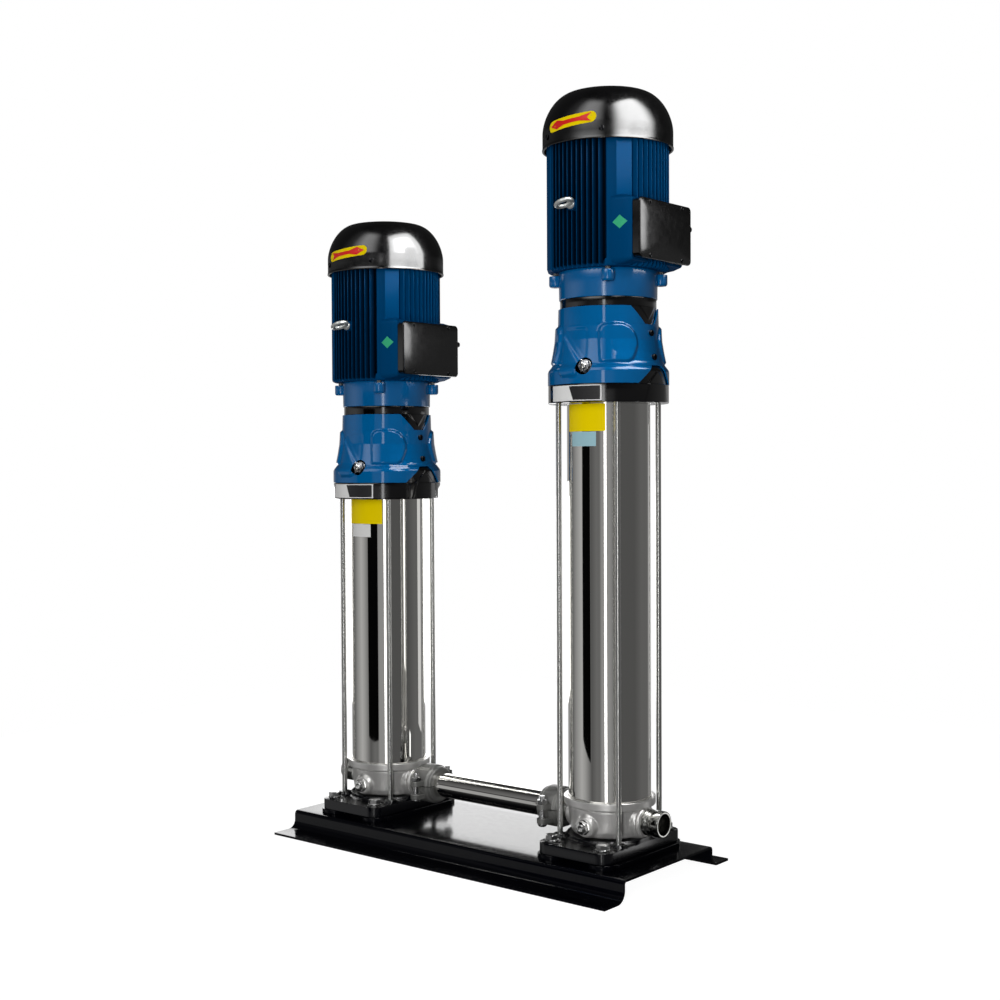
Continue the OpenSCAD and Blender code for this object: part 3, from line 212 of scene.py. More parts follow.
# A rectangle w by d with round corners, as one closed outline.
def roundRectangle(w, d, r, steps=8):
    a = np.radians(np.linspace(0, 90, steps))
    corner = np.stack([np.cos(a), np.sin(a)], -1) * r
    parts = []
    for k, (sx, sy) in enumerate(((1, 1), (-1, 1), (-1, -1), (1, -1))):
        parts.append(corner @ turn(k * math.pi / 2) + [sx * (w / 2 - r), sy * (d / 2 - r)])
    return np.concatenate(parts)


# Local points (x, y, z) go to centre + x u + y v + z w, with w along an axis.
def placed(part, centre, axis=(0, 0, 1), spin=0.0):
    u, v, w = axesFor(axis)
    c, s = math.cos(math.radians(spin)), math.sin(math.radians(spin))
    points = part[0] @ np.array([c * u + s * v, -s * u + c * v, w]) + np.asarray(centre, float)
    return points, part[1]


# Flat-to-flat hexagon: r(a) = (flats / 2) / cos(a folded into -30..30 degrees)
def hexRadius(a, flats):
    return flats / 2 / np.cos((a + np.pi / 6) % (np.pi / 3) - np.pi / 6)


# A hexagonal head with the round chamfer that a lathe leaves: r = min(hexagon, cone)
def hexHead(flats, height, both=False):
    a = np.linspace(0, 2 * np.pi, 72, endpoint=False)
    z = np.concatenate([[0, 0.001], np.linspace(0.04, 0.96, 12) * height, [height]])
    cone = flats * 0.475 + 1.75 * np.minimum(height - z, z if both else height)
    r = np.minimum(hexRadius(a, flats)[None], np.maximum(cone[:, None], flats * 0.44))
    rings = np.stack([r * np.cos(a), r * np.sin(a), np.broadcast_to(z[:, None], r.shape)], -1)
    return loft(rings)


# A thread: r(z, a) = outer - depth * triangle(z / pitch - a / 2 pi), ending in a small cone
def threaded(outer, pitch, length, centre, axis=(0, 0, 1), around=20):
    z = np.linspace(0, length, max(8, int(length / pitch * 6)))
    profile = np.stack([np.minimum(outer, outer * 0.8 + (length - z)), z], -1)

    def groove(a, h):
        triangle = np.abs(2 * ((h / pitch - a / (2 * np.pi)) % 1) - 1)
        return -0.6 * pitch * triangle * (h < length - 0.2 * outer)

    return turned(profile, centre, axis, around, ripple=groove)


# A cap screw: a round head with a hexagonal socket sunk into it
def socketHead(r, height, flats, centre, axis):
    a = np.linspace(0, 2 * np.pi, 36, endpoint=False)
    socket = hexRadius(a, flats)
    radii = [r, r, r - 0.4, flats / 2 + 0.8, socket, socket]
    levels = [0, height - 0.4, height, height, height - 0.3, height * 0.45]
    rings = [np.stack([q * np.cos(a), q * np.sin(a), np.full(36, z)], -1) for q, z in zip(radii, levels)]
    return placed(loft(rings), centre, axis)


# Distance from points to a closed polygon, positive inside: the nearest edge's distance, signed by crossings.
def inside(points, polygon):
    flat = points.reshape(-1, 1, 2)
    start = np.asarray(polygon, float)[None]
    end = np.roll(start, -1, 1)
    along = end - start
    t = np.clip(np.sum((flat - start) * along, -1) / np.sum(along * along, -1), 0, 1)
    distance = np.linalg.norm(flat - start - t[..., None] * along, axis=-1).min(1)
    spans = (start[..., 1] > flat[..., 1]) != (end[..., 1] > flat[..., 1])
    crossing = start[..., 0] + along[..., 0] * (flat[..., 1] - start[..., 1]) / (along[..., 1] + 1e-12)
    odd = np.sum(spans & (flat[..., 0] < crossing), 1) % 2
    return np.where(odd == 1, distance, -distance).reshape(points.shape[:-1])


# Joins parts into one object at the origin, in metres, smooth below an angle in degrees.
def addPiece(name, parts, material, slot, body=rootBody, replaced=(), smooth=32, bevel=0):
    points, faces, start = [], [], 0
    for partPoints, partFaces in parts:
        points.append(partPoints)
        faces += [tuple(index + start for index in face) for face in partFaces]
        start += len(partPoints)
    mesh = bpy.data.meshes.new(name)
    mesh.from_pydata((np.concatenate(points) * mm).tolist(), [], faces)
    piece = bpy.data.objects.new(name, mesh)
    bpy.context.scene.collection.objects.link(piece)
    return finishPiece(piece, material, slot, body, replaced, smooth, bevel)


# Material, bevel in mm, smooth shading and the frame's own calls for a piece.
def finishPiece(piece, material, slot, body, replaced, smooth, bevel):
    piece.data.materials.clear()
    piece.data.materials.append(material)
    if bevel:
        edge = piece.modifiers.new("edge", "BEVEL")
        edge.width = bevel * mm
        edge.segments = 2
        edge.limit_method = "ANGLE"
        edge.angle_limit = math.radians(smooth)
    smoothBelow(piece, smooth)
    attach(piece, body)
    if replaced:
        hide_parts(*replaced)
    return piece


# Smooth faces, with edges sharper than an angle kept sharp.
def smoothBelow(piece, degrees):
    mesh = piece.data
    mesh.polygons.foreach_set("use_smooth", [True] * len(mesh.polygons))
    form = bmesh.new()
    form.from_mesh(mesh)
    limit = math.radians(degrees)
    for edge in form.edges:
        edge.smooth = len(edge.link_faces) == 2 and edge.calc_face_angle(0.0) < limit
    form.to_mesh(mesh)
    form.free()


# A merged copy of a CAD node's mesh, with its flat triangles joined and its edges softened.
def dressNode(nodeName, name, material, slot, smooth=30, bevel=0.4, body=rootBody):
    piece = bpy.data.objects.new(name, nodes[nodeName].data.copy())
    bpy.context.scene.collection.objects.link(piece)
    form = bmesh.new()
    form.from_mesh(piece.data)
    bmesh.ops.remove_doubles(form, verts=form.verts, dist=1e-6)
    bmesh.ops.dissolve_limit(form, angle_limit=math.radians(0.5), verts=form.verts, edges=form.edges)
    form.to_mesh(piece.data)
    form.free()
    return finishPiece(piece, material, slot, body, (nodeName,), smooth, bevel)


# Round holes cut from a piece's mesh: each cutter is a closed part in mm.
def drilled(piece, cutters):
    cutter = addPiece("cutter", cutters, piece.data.materials[0], "black_gloss")
    cut = piece.modifiers.new("cut", "BOOLEAN")
    cut.operation = "DIFFERENCE"
    cut.solver = "EXACT"
    cut.object = cutter
    view = bpy.context.evaluated_depsgraph_get()
    mesh = bpy.data.meshes.new_from_object(piece.evaluated_get(view))
    piece.modifiers.remove(cut)
    piece.data = mesh
    bpy.data.objects.remove(cutter)
    smoothBelow(piece, 32)


# Materials

# A Principled material whose constants sit on the shader's own sockets.
def shader(name, color, metallic=0.0, roughness=0.4, coat=0.0, coatRoughness=0.05, specular=0.5):
    material = bpy.data.materials.new(name)
    material.use_nodes = True
    sockets = material.node_tree.nodes["Principled BSDF"].inputs
    sockets["Base Color"].default_value = (*color, 1)
    sockets["Metallic"].default_value = metallic
    sockets["Roughness"].default_value = roughness
    sockets["Coat Weight"].default_value = coat
    sockets["Coat Roughness"].default_value = coatRoughness
    sockets["Specular IOR Level"].default_value = specular
    return material


# Makes a node with its settings and its input values or links, and returns it.
def addNode(tree, kind, values=(), **settings):
    made = tree.nodes.new("ShaderNode" + kind)
    for key, value in settings.items():
        setattr(made, key, value)
    for key, value in values:
        if isinstance(value, bpy.types.NodeSocket):
            tree.links.new(value, made.inputs[key])
        else:
            made.inputs[key].default_value = value
    return made


# Noise on Object coordinates moves the roughness between two values, the color to a tint, and raises a bump.
def grained(material, scale, low, high, tint, stretch=(1, 1, 1), detail=4, bump=0.0, bumpDistance=0.0002):
    tree = material.node_tree
    sockets = tree.nodes["Principled BSDF"].inputs
    place = addNode(tree, "TexCoord").outputs["Object"]
    mapping = addNode(tree, "Mapping", [("Scale", stretch), ("Vector", place)]).outputs["Vector"]
    noise = addNode(tree, "TexNoise", [("Scale", scale), ("Detail", detail), ("Vector", mapping)])
    noise = noise.outputs["Fac"]
    spread = addNode(tree, "MapRange", [("Value", noise), ("From Min", 0.3), ("From Max", 0.7),
                                        ("To Min", low), ("To Max", high)]).outputs["Result"]
    tinted = addNode(tree, "Mix", data_type="RGBA")
    tinted.inputs[6].default_value = sockets["Base Color"].default_value
    tinted.inputs[7].default_value = (*tint, 1)
    tree.links.new(noise, tinted.inputs[0])
    tree.links.new(spread, sockets["Roughness"])
    tree.links.new(tinted.outputs[2], sockets["Base Color"])
    if bump:
        relief = addNode(tree, "Bump", [("Strength", bump), ("Distance", bumpDistance), ("Height", noise)])
        tree.links.new(relief.outputs["Normal"], sockets["Normal"])
    return material


# A finish: color, the tint it drifts to, roughness, and grain as (noise scale, lowest, highest roughness).
def finish(name, color, tint, roughness, grain, metallic=0.0, coat=0.0, coatRoughness=0.05, specular=0.5,
           **more):
    material = shader(name, color, metallic, roughness, coat, coatRoughness, specular)
    return grained(material, *grain, tint, **more)


# The blue paint under a clear coat, whose index of refraction sets how strongly it mirrors.
def paint(name, color, coat, coatRoughness, index=1.5):
    tint = tuple(1.07 * share for share in color)
    material = finish(name, color, tint, 0.5, (300, 0.46, 0.54), metallic=0.15, coat=coat,
                      coatRoughness=coatRoughness, specular=0.0, bump=0.01)
    material.node_tree.nodes["Principled BSDF"].inputs["Coat IOR"].default_value = index
    return material


# A satin printed film.
def film(name, color, tint):
    return finish(name, color, tint, 0.4, (400, 0.34, 0.46))


bluePaint = paint("bluePaint", (0.0, 0.125, 0.36), 0.8, 0.13, 1.9)
guardPaint = paint("guardPaint", (0.0, 0.13, 0.37), 0.9, 0.05)
# The motor's blue is the same paint at under half the brightness: this darkening is painted shade.
shadedMotorPaint = paint("shadedMotorPaint", (0.0, 0.056, 0.17), 0.05, 0.2)
blackGloss = finish("blackGloss", (0.0006, 0.0008, 0.002), (0.0012, 0.0014, 0.003), 0.14, (120, 0.12, 0.2),
                    coat=0.1, coatRoughness=0.08, specular=0.22, bump=0.015)
stoolBlack = finish("stoolBlack", (0.0004, 0.0004, 0.0008), (0.0008, 0.0008, 0.0014), 0.12, (120, 0.1, 0.16),
                    coat=0.8, coatRoughness=0.1, bump=0.015)
castBlack = finish("castBlack", (0.0006, 0.0008, 0.002), (0.0012, 0.0014, 0.003), 0.16, (350, 0.13, 0.2),
                   coat=0.15, coatRoughness=0.1, bump=0.04)
blackPlastic = finish("blackPlastic", (0.0004, 0.0004, 0.0007), (0.0008, 0.0008, 0.0012), 0.17,
                      (90, 0.14, 0.2), specular=1.0, bump=0.01)
rubberBlack = finish("rubberBlack", (0.02, 0.02, 0.02), (0.03, 0.03, 0.03), 0.7, (300, 0.6, 0.8), bump=0.1)
castStainless = finish("castStainless", (0.8, 0.79, 0.77), (0.87, 0.86, 0.84), 0.33, (900, 0.3, 0.41),
                       metallic=0.75, bump=0.25, bumpDistance=0.0003)
greyCast = finish("greyCast", (0.22, 0.22, 0.21), (0.32, 0.32, 0.31), 0.45, (500, 0.38, 0.54), 0.7, bump=0.35)
satinSteel = finish("satinSteel", (0.72, 0.74, 0.72), (0.64, 0.66, 0.64), 0.34, (200, 0.28, 0.4), 0.6)
brushedSteel = finish("brushedSteel", (0.78, 0.77, 0.74), (0.84, 0.83, 0.8), 0.035, (40, 0.025, 0.05), 1.0,
                      stretch=(1, 1, 0.02))
rodSteel = finish("rodSteel", (0.8, 0.8, 0.78), (0.86, 0.86, 0.84), 0.26, (60, 0.25, 0.27), 1.0,
                  stretch=(1, 1, 0.02), detail=1)
polishedSteel = finish("polishedSteel", (0.5, 0.5, 0.48), (0.45, 0.45, 0.43), 0.14, (60, 0.1, 0.18), 1.0)
zincSteel = finish("zincSteel", (0.7, 0.7, 0.7), (0.62, 0.62, 0.62), 0.2, (200, 0.14, 0.26), 1.0, bump=0.04)
brightSteel = finish("brightSteel", (0.85, 0.85, 0.84), (0.78, 0.78, 0.77), 0.1, (150, 0.06, 0.15), 1.0,
                     bump=0.02)
greySteel = finish("greySteel", (0.45, 0.46, 0.47), (0.55, 0.55, 0.56), 0.3, (300, 0.22, 0.4), 1.0, bump=0.08)
yellowFilm = finish("yellowFilm", (1.0, 0.76, 0.0), (0.98, 0.74, 0.0), 0.4, (400, 0.36, 0.46), specular=0.1,
                    bump=0.02)
redInk = finish("redInk", (0.75, 0.01, 0.01), (0.8, 0.02, 0.01), 0.35, (400, 0.3, 0.4))
whiteFilm = film("whiteFilm", (0.85, 0.85, 0.84), (0.92, 0.92, 0.91))
darkFilm = film("darkFilm", (0.012, 0.012, 0.014), (0.02, 0.02, 0.02))
paleBlueFilm = film("paleBlueFilm", (0.35, 0.6, 0.68), (0.42, 0.66, 0.73))
greenFilm = film("greenFilm", (0.03, 0.45, 0.2), (0.05, 0.5, 0.25))


# A copy whose color is multiplied by an attribute of the mesh, from a share at 0 to the whole at 1: painted
# shade.
def shaded(material, name, attribute, least):
    copy = material.copy()
    copy.name = name
    tree = copy.node_tree
    baseColor = tree.nodes["Principled BSDF"].inputs["Base Color"]
    depth = addNode(tree, "Attribute", attribute_name=attribute).outputs["Fac"]
    share = addNode(tree, "MapRange", [("Value", depth), ("To Min", least)]).outputs["Result"]
    source = baseColor.links[0].from_socket
    darker = addNode(tree, "VectorMath", operation="SCALE")
    tree.links.new(source, darker.inputs[0])
    tree.links.new(share, darker.inputs["Scale"])
    tree.links.new(darker.outputs[0], baseColor)
    return copy


# The fins' paint: the motor paint with painted shade on the fins and in the gaps between them.
finPaintWithShade = shaded(shadedMotorPaint, "finPaintWithShade", "paintedFinShade", 0.03)
print("stage: materials")

slotMaterials = {
    "black_gloss": blackGloss, "grey_steel": greySteel, "stainless": brushedSteel,
    "cast_stainless": castStainless, "grey_cast": greyCast, "zinc": zincSteel, "rubber": rubberBlack,
    "bright_steel": brightSteel, "carbide": greySteel, "black_steel": blackGloss,
    "black_plastic": blackPlastic, "blue_paint": bluePaint, "core_steel": greySteel,
}
nodeSlots = {entry["node"]: entry["material_slot"] for entry in frame["record"]["subparts"]}
for nodeName, cadNode in nodes.items():
    cadNode.data.materials.clear()
    cadNode.data.materials.append(slotMaterials[nodeSlots[nodeName]])

# These nodes keep their CAD form, with softened edges.
dressNode("base_frame", "baseSheet", blackGloss, "black_gloss", bevel=0.8)
dressNode("foot_plates", "footPlates", blackGloss, "grey_steel", bevel=0.8)
dressNode("flange_bolts", "flangeBolts", greyCast, "zinc", bevel=0.2)
for nodeName in ("tie_rod_nuts", "rubber_seals", "cable_glands"):
    slot = nodeSlots[nodeName]
    dressNode(nodeName, nodeName + "_dress", slotMaterials[slot], slot, bevel=0.2)
for side in pumps:
    dressNode(side + "_end_shield", side + "EndShield", bluePaint, "blue_paint", bevel=0.3)
print("stage: dressed nodes")

# Foot casting, in mm; sunk is how far the top lies lower between its seat, bosses and pads.
foot = {"w": 139, "d": 219, "corner": 19.5, "low": 43, "top": 62.5, "seat": 4.2, "seatR": 70, "bossR": 11,
        "rodCircle": 81.4, "anchorX": 50, "anchorY": 90, "padR": 15, "sunk": 1.6}


# z(x, y) over a rounded plan: top + seat and bosses - sunk between them, each with a soft rim.
def footShell(centreX):
    f = foot
    outline = finerLoop(roundRectangle(f["w"], f["d"], f["corner"], 10), 2.5)
    flat = outline[None] * np.concatenate([np.linspace(0.3, 0.96, 56), [0.985]])[:, None, None]
    x, y = flat[..., 0], flat[..., 1]
    rod = f["rodCircle"] / math.sqrt(2)
    fromAxis = np.hypot(x, y)
    fromBoss = np.hypot(np.abs(x) - rod, np.abs(y) - rod)
    fromPad = np.hypot(np.abs(x) - f["anchorX"], np.abs(y) - f["anchorY"])
    seat = smoothStep((f["seatR"] + 2 - fromAxis) / 3)
    raised = f["seat"] * np.maximum(seat, smoothStep((f["bossR"] + 1.5 - fromBoss) / 2.5))
    between = smoothStep((fromAxis - f["seatR"] - 2) / 4) * smoothStep((fromPad - f["padR"]) / 4)
    between *= smoothStep((fromBoss - f["bossR"] - 1) / 3)
    z = f["top"] + raised - f["sunk"] * between
    cap = np.concatenate([flat, z[..., None]], -1)
    sides = ((0.996, f["top"] - f["sunk"]), (1, f["top"] - 2 * f["sunk"]), (1, f["low"] + 1),
             (0.99, f["low"]), (0.3, f["low"]))
    rings = np.concatenate([cap, [atLevel(outline * share, z) for share, z in sides]])
    return loft(rings + [centreX, 0, 0], looped=True)


# Anchors: washer, chamfered hexagon and the thread's end on each lug, and the nut below the sheet.
anchor = {"flats": 18.6, "head": 7.4, "washerR": 11.6, "washer": 2, "thread": 6, "pitch": 1.75, "end": 14,
          "nut": 9.6, "sheet": 31}


def anchorSet(x, y):
    a, z = anchor, foot["top"]
    return [disc(a["washerR"], 0, a["washer"], 0.5, (x, y, z)),
            placed(hexHead(a["flats"], a["head"]), (x, y, z + a["washer"]), spin=17 + x + y),
            placed(hexHead(a["flats"], a["nut"], both=True), (x, y, a["sheet"] - a["nut"]), spin=8 + x),
            threaded(a["thread"], a["pitch"], a["end"], (x, y, a["sheet"] - 1), (0, 0, -1))]


for side, pump in pumps.items():
    addPiece(side + "Foot", [footShell(pump["x"])], castBlack, "black_gloss", replaced=(side + "_foot",))
anchors = []
for pump in pumps.values():
    for sx in (-1, 1):
        for sy in (-1, 1):
            anchors += anchorSet(pump["x"] + sx * foot["anchorX"], sy * foot["anchorY"])
addPiece("anchors", anchors, zincSteel, "zinc", replaced=("anchor_fasteners",))
print("stage: feet")

# Head: a cast barrel with two port bosses and a drain boss, and the sleeve's collar on top. Each rim is
# (radius of the swelling, width it fades over, least cosine of the azimuth from the boss).
head = {"low": 66.7, "foot": 64, "r": 67, "collar": 74.4, "collarLow": 115, "top": 127.5, "bore": 67.35,
        "ledge": 118.5, "port": 93, "portFace": 69, "portRim": (31, 6, 0.7),
        "drain": 87, "drainFace": 72, "drainRim": (21, 7, 0.8)}
stub = {"bore": 16.8, "r": 21.2, "low": 56, "grooveR": 19.5, "groove": (81.1, 89.1), "reach": 105}
boss = {"bore": 20, "r": 25, "low": 52, "high": 71, "tipR": 23.2, "tip": 73.4}
plug = {"seatR": 12.2, "seat": 1.4, "flats": 19, "height": 7.4, "noseR": 6.2, "nose": 10.4, "dentR": 3.4,
        "dent": 9}


# How far the barrel swells out to a flat boss: face / cos(azimuth) - r, faded out round the boss's rim.
def swelling(away, towards, face, r, rim):
    radius, fade, least = rim
    height = np.maximum(0, face / np.maximum(towards, 0.5) - r)
    return smoothStep((radius - away) / fade) * (towards > least) * height


def headShell(centreX):
    h = head
    low, collarLow = h["low"], h["collarLow"]
    profile = [(0, low), (53, low), (60.5, low + 3), (h["foot"], low + 11), (66.3, collarLow - 14),
               (h["r"], collarLow - 6), (h["r"], collarLow - 1.8), (h["r"] - 3, collarLow - 1.4),
               (h["r"] - 3, collarLow), (h["collar"], collarLow), (h["collar"], h["top"]),
               (h["bore"], h["top"]), (h["bore"], h["ledge"]), (0, h["ledge"])]
    profile = finer(softened(profile, 1.6), 2.2)
    az = np.linspace(0, 2 * np.pi, 288, endpoint=False)[None]
    r, z = profile[:, :1], profile[:, 1:]
    barrel = (z < collarLow - 1) & (r > 50)
    fromPort = np.hypot(r * np.cos(az), z - h["port"])
    fromDrain = np.hypot(r * np.sin(az), z - h["drain"])
    port = swelling(fromPort, np.abs(np.sin(az)), h["portFace"], r, h["portRim"])
    drain = swelling(fromDrain, np.cos(az), h["drainFace"], r, h["drainRim"])
    lifted = r + np.where(barrel, port + drain, 0)
    level = np.broadcast_to(z, lifted.shape)
    return loft(np.stack([centreX + lifted * np.sin(az), -lifted * np.cos(az), level], -1))


def portStub(centreX, direction):
    bore, r, low, reach = (stub[key] for key in ("bore", "r", "low", "reach"))
    grooveLow, grooveHigh = stub["groove"]
    loop = [(bore, low), (r, low), (r, grooveLow), (stub["grooveR"], grooveLow),
            (stub["grooveR"], grooveHigh), (r, grooveHigh), (r, reach), (bore, reach)]
    return hoop(loop, 0.9, (centreX, 0, head["port"]), (direction, 0, 0))


def portBoss(centreX, direction):
    b = boss
    loop = [(b["bore"], b["low"]), (b["r"], b["low"]), (b["r"], b["high"]), (b["tipR"], b["tip"]),
            (b["bore"], b["tip"])]
    return hoop(loop, 0.9, (centreX, 0, head["port"]), (direction, 0, 0))


def drainPlug(centreX):
    d, out = plug, (0, -1, 0)
    centre = (centreX, -head["drainFace"], head["drain"])
    nose = [(0, 8), (d["noseR"], 8), (d["noseR"], d["nose"]), (d["dentR"], d["nose"]),
            (d["dentR"], d["dent"]), (0, d["dent"])]
    return [disc(d["seatR"], -6, d["seat"], 0.6, centre, out),
            placed(hexHead(d["flats"], d["height"]), (centreX, centre[1] - 1.2, head["drain"]), out, 12),
            turned(softened(nose, 0.5), centre, out, 36)]


plugParts = []
for side, pump in pumps.items():
    x = pump["x"]
    addPiece(side + "Head", [headShell(x), portBoss(x, -1), portBoss(x, 1)], castStainless, "cast_stainless",
             replaced=(side + "_head",))
    addPiece(side + "Stubs", [portStub(x, -1), portStub(x, 1)], polishedSteel, "cast_stainless")
    plugParts += drainPlug(x)
addPiece("drainPlugs", plugParts, brightSteel, "bright_steel", replaced=("drain_plugs",))
print("stage: heads")

# Pipe between the pumps, and the two grooved clamps.
clamp = {"r": 34, "half": 22.5, "lip": 19.9, "gap": 1.6, "earY": 42.4, "earR": 9.5, "ear": 9, "rise": 1.5,
         "drop": 13, "bolt": 5, "shank": 34, "flats": 16.2, "nut": 7.5, "joint": 141.75}
joiningPipe = {"bore": 18.4, "r": 21.2, "gap": 1.5}
middle = (pumps["left"]["x"] + pumps["right"]["x"]) / 2
pipeHalf = (pumps["right"]["x"] - pumps["left"]["x"]) / 2 - stub["reach"] - joiningPipe["gap"]
pipeLoop = square(joiningPipe["bore"], joiningPipe["r"], -pipeHalf, pipeHalf)
pipeLoop = finer(softened(pipeLoop + pipeLoop[:1], 0.5), 40)[:-1]
addPiece("joiningPipe", [turned(pipeLoop, (middle, 0, head["port"]), (1, 0, 0), looped=True)],
         brushedSteel, "stainless", replaced=("crossover_pipe",))


# Half a clamp: (r, h) of a stepped loop swept over half a turn, with an ear and a web on each side.
def clampHalf(x, upper):
    c, sign = clamp, 1 if upper else -1
    r, half, lip = c["r"], c["half"], c["lip"]
    loop = [(lip, -half), (r - 5, -half), (r - 3, -half + 2), (r - 3, -half + 7), (r, -half + 9.5),
            (r, half - 9.5), (r - 3, half - 7), (r - 3, half - 2), (r - 5, half), (lip, half), (lip, 17),
            (21.6, 17), (21.6, 12), (30, 12), (30, -12), (21.6, -12), (21.6, -17), (lip, -17)]
    radius, along = np.moveaxis(softened(loop, 1.4, closed=True, steps=3)[None], -1, 0)
    start = math.asin(c["gap"] / 2 / r)
    a = np.linspace(start, np.pi - start, 40)[:, None]
    sweep = [x + along + 0 * a, radius * np.cos(a), head["port"] + sign * radius * np.sin(a)]
    parts = [loft(np.stack(sweep, -1))]

    def lift(flat, z):
        return atLevel(flat + [x, 0], head["port"] + sign * z)

    low = c["rise"] if upper else c["drop"]
    levels = [(low, 0.6), (low + 0.6, 0), (low + c["ear"] - 0.9, 0.3), (low + c["ear"], 1.2)]
    arc = np.radians(np.linspace(-90, 90, 16))
    tip = np.stack([np.sin(arc) * c["earR"], c["earY"] + np.cos(arc) * c["earR"]], -1)
    ear = finerLoop(np.concatenate([tip, [(11.5, 31), (11.5, 25), (-11.5, 25), (-11.5, 31)]]), 3)
    for sy in (-1, 1):
        parts.append(pressed(ear * [1, sy], levels, lift))
        parts.append(pressed(roundRectangle(7, 12, 2.5, 4) + [0, sy * 33], [(0.8, 0), (low + 1, 0)], lift))
    return parts


def clampBolt(x, y):
    c = clamp
    under = head["port"] - c["drop"] - c["ear"]
    over = head["port"] + c["rise"] + c["ear"]
    dome = softened([(0, 0), (8, 0), (8, 1.6), (5.8, 4.4), (0, 5.6)], 1.2)
    return [turned(dome, (x, y, under), (0, 0, -1), 36),
            turned([(c["bolt"], 0), (c["bolt"], c["shank"])], (x, y, under - 1), around=24),
            placed(hexHead(c["flats"], c["nut"], both=True), (x, y, over), spin=11),
            threaded(c["bolt"], 1.5, 8, (x, y, over + c["nut"] - 1.5))]


clampPlaces = [middle - clamp["joint"], middle + clamp["joint"]]
for name, upper in (("upper", True), ("lower", False)):
    addPiece(name + "Clamps", [part for x in clampPlaces for part in clampHalf(x, upper)],
             greyCast, "grey_cast", replaced=("clamp_" + name + "_halves",))
clampBolts = [part for x in clampPlaces for y in (-clamp["earY"], clamp["earY"]) for part in clampBolt(x, y)]
addPiece("clampBolts", clampBolts, zincSteel, "zinc", replaced=("clamp_fasteners",))
print("stage: pipe and clamps")

# Sleeves and tie rods: plain turned forms.
sleeve = {"r": 67, "inner": 65, "low": 118.5, "seat": 9}
rods = {"r": 4.5, "circle": 81.4, "low": 50.5, "end": 40.8, "azimuths": (45, 135, 225, 315)}
rodParts = []
for side, pump in pumps.items():
    tube = finerLoop(square(sleeve["inner"], sleeve["r"], sleeve["low"], pump["ring"] + sleeve["seat"]), 60)
    addPiece(side + "Sleeve", [turned(tube, (pump["x"], 0, 0), around=256, looped=True)], brushedSteel,
             "stainless", replaced=(side + "_outer_sleeve",))
    rodTop = pump["ring"] + rods["end"]
    rod = finer([(0, rods["low"]), (rods["r"], rods["low"]), (rods["r"], rodTop), (0, rodTop)], 60)
    for rodAzimuth in rods["azimuths"]:
        x, y = polar(rods["circle"], rodAzimuth)
        rodParts.append(turned(rod, (pump["x"] + x, y, 0), around=32))
addPiece("tieRods", rodParts, rodSteel, "zinc", replaced=("tie_rods",))
print("stage: sleeves and rods")

# Guards and stool share one waisted skin, r(z) above the ring's top. A column's window narrows from the skirt
# to the waist and widens to the notch.
guard = {"low": 29.6, "h": 121.6, "wall": 2.5, "skirt": 42.8, "notch": 39, "waist": 13, "waistLow": 28,
         "waistHigh": 94, "seam": 5, "lift": 4.2, "edge": 5.5, "sink": 0.8, "vent": 11, "ventZ": 27,
         "ventR": 13.5,
         "curve": [(0, 97.6), (20.5, 97.6), (23.5, 96.4), (31.8, 90), (35.7, 88.6), (51.3, 85.4), (69, 82.5),
                   (91.4, 81.1), (121.6, 80.3)]}
roundPanel = np.array([(-32, 31), (-32, 82), (-29, 90), (-22, 94.5), (-7, 96), (8, 95.5), (20, 90), (28, 81),
                       (32.5, 70), (33, 58), (29, 46), (24, 36), (15, 31)], float)
wedgePanel = np.array([(-33, 84), (-28, 80), (9, 37), (14, 27), (11, 13), (5, 9), (-22, 9), (-30, 16)], float)
hollowPanel = np.array([(-26, 90), (14, 90), (19, 84), (21, 44), (17, 30), (11, 38), (-28, 83)], float)
# each panel on a guard: its azimuth, outline, 1 or -1 when flipped, and rise
panels = ((46, roundPanel, 1, guard["lift"]), (-50, roundPanel, -1, guard["lift"]),
          (0, wedgePanel, 1, guard["lift"]), (0, hollowPanel, 1, -guard["sink"]))


# The curve's points joined by lines, then averaged with a bell-shaped weight.
def skinRadius(z):
    fine = np.linspace(-6, guard["h"] + 6, 800)
    rough = np.interp(fine, *np.array(guard["curve"], float).T)
    kernel = np.hanning(31)
    smooth = np.convolve(np.pad(rough, 15, mode="edge"), kernel / kernel.sum(), "valid")
    return np.interp(z, fine, smooth)


# Half the width of a column's window at a level.
def windowWidth(z):
    g = guard
    return np.interp(z, [0, g["waistLow"], g["waistLow"] + 0.6, g["waistHigh"] - 0.6, g["waistHigh"], g["h"]],
                     [g["skirt"], g["waist"], 0, 0, g["waist"], g["notch"]])


# r(azimuth, z) = skin + lift inside each raised outline - sink inside the hollow, with soft edges.
def guardShell(centreX, ring, front):
    g = guard
    steps = [g["waistLow"], g["waistLow"] + 0.6, g["waistHigh"] - 0.6, g["waistHigh"]]
    z = np.unique(np.concatenate([np.linspace(0, g["h"], 105), steps]))
    r = skinRadius(z)
    width = windowWidth(z)
    inset = np.degrees(np.arcsin(width / r))
    facing = 0 if front else 180
    start = np.where(width < 1, -90 + g["seam"], -90 + inset) + facing
    end = np.where(width < 1, 90 + g["seam"] - 0.4, 90 - inset) + facing
    az = start[:, None] + (end - start)[:, None] * np.linspace(0, 1, 150)[None]
    rise = np.zeros_like(az)
    for centre, outline, flip, amount in panels:
        away = np.radians(az - facing - centre)
        local = np.stack([r[:, None] * np.sin(away) * flip, np.broadcast_to(z[:, None], az.shape)], -1)
        rise += amount * smoothStep(inside(local, outline) / g["edge"]) * (np.abs(away) < 1.2)
    outer = r[:, None] + rise
    return curvedShell(centreX, outer, outer - g["wall"], az, z[:, None] + ring + g["low"])


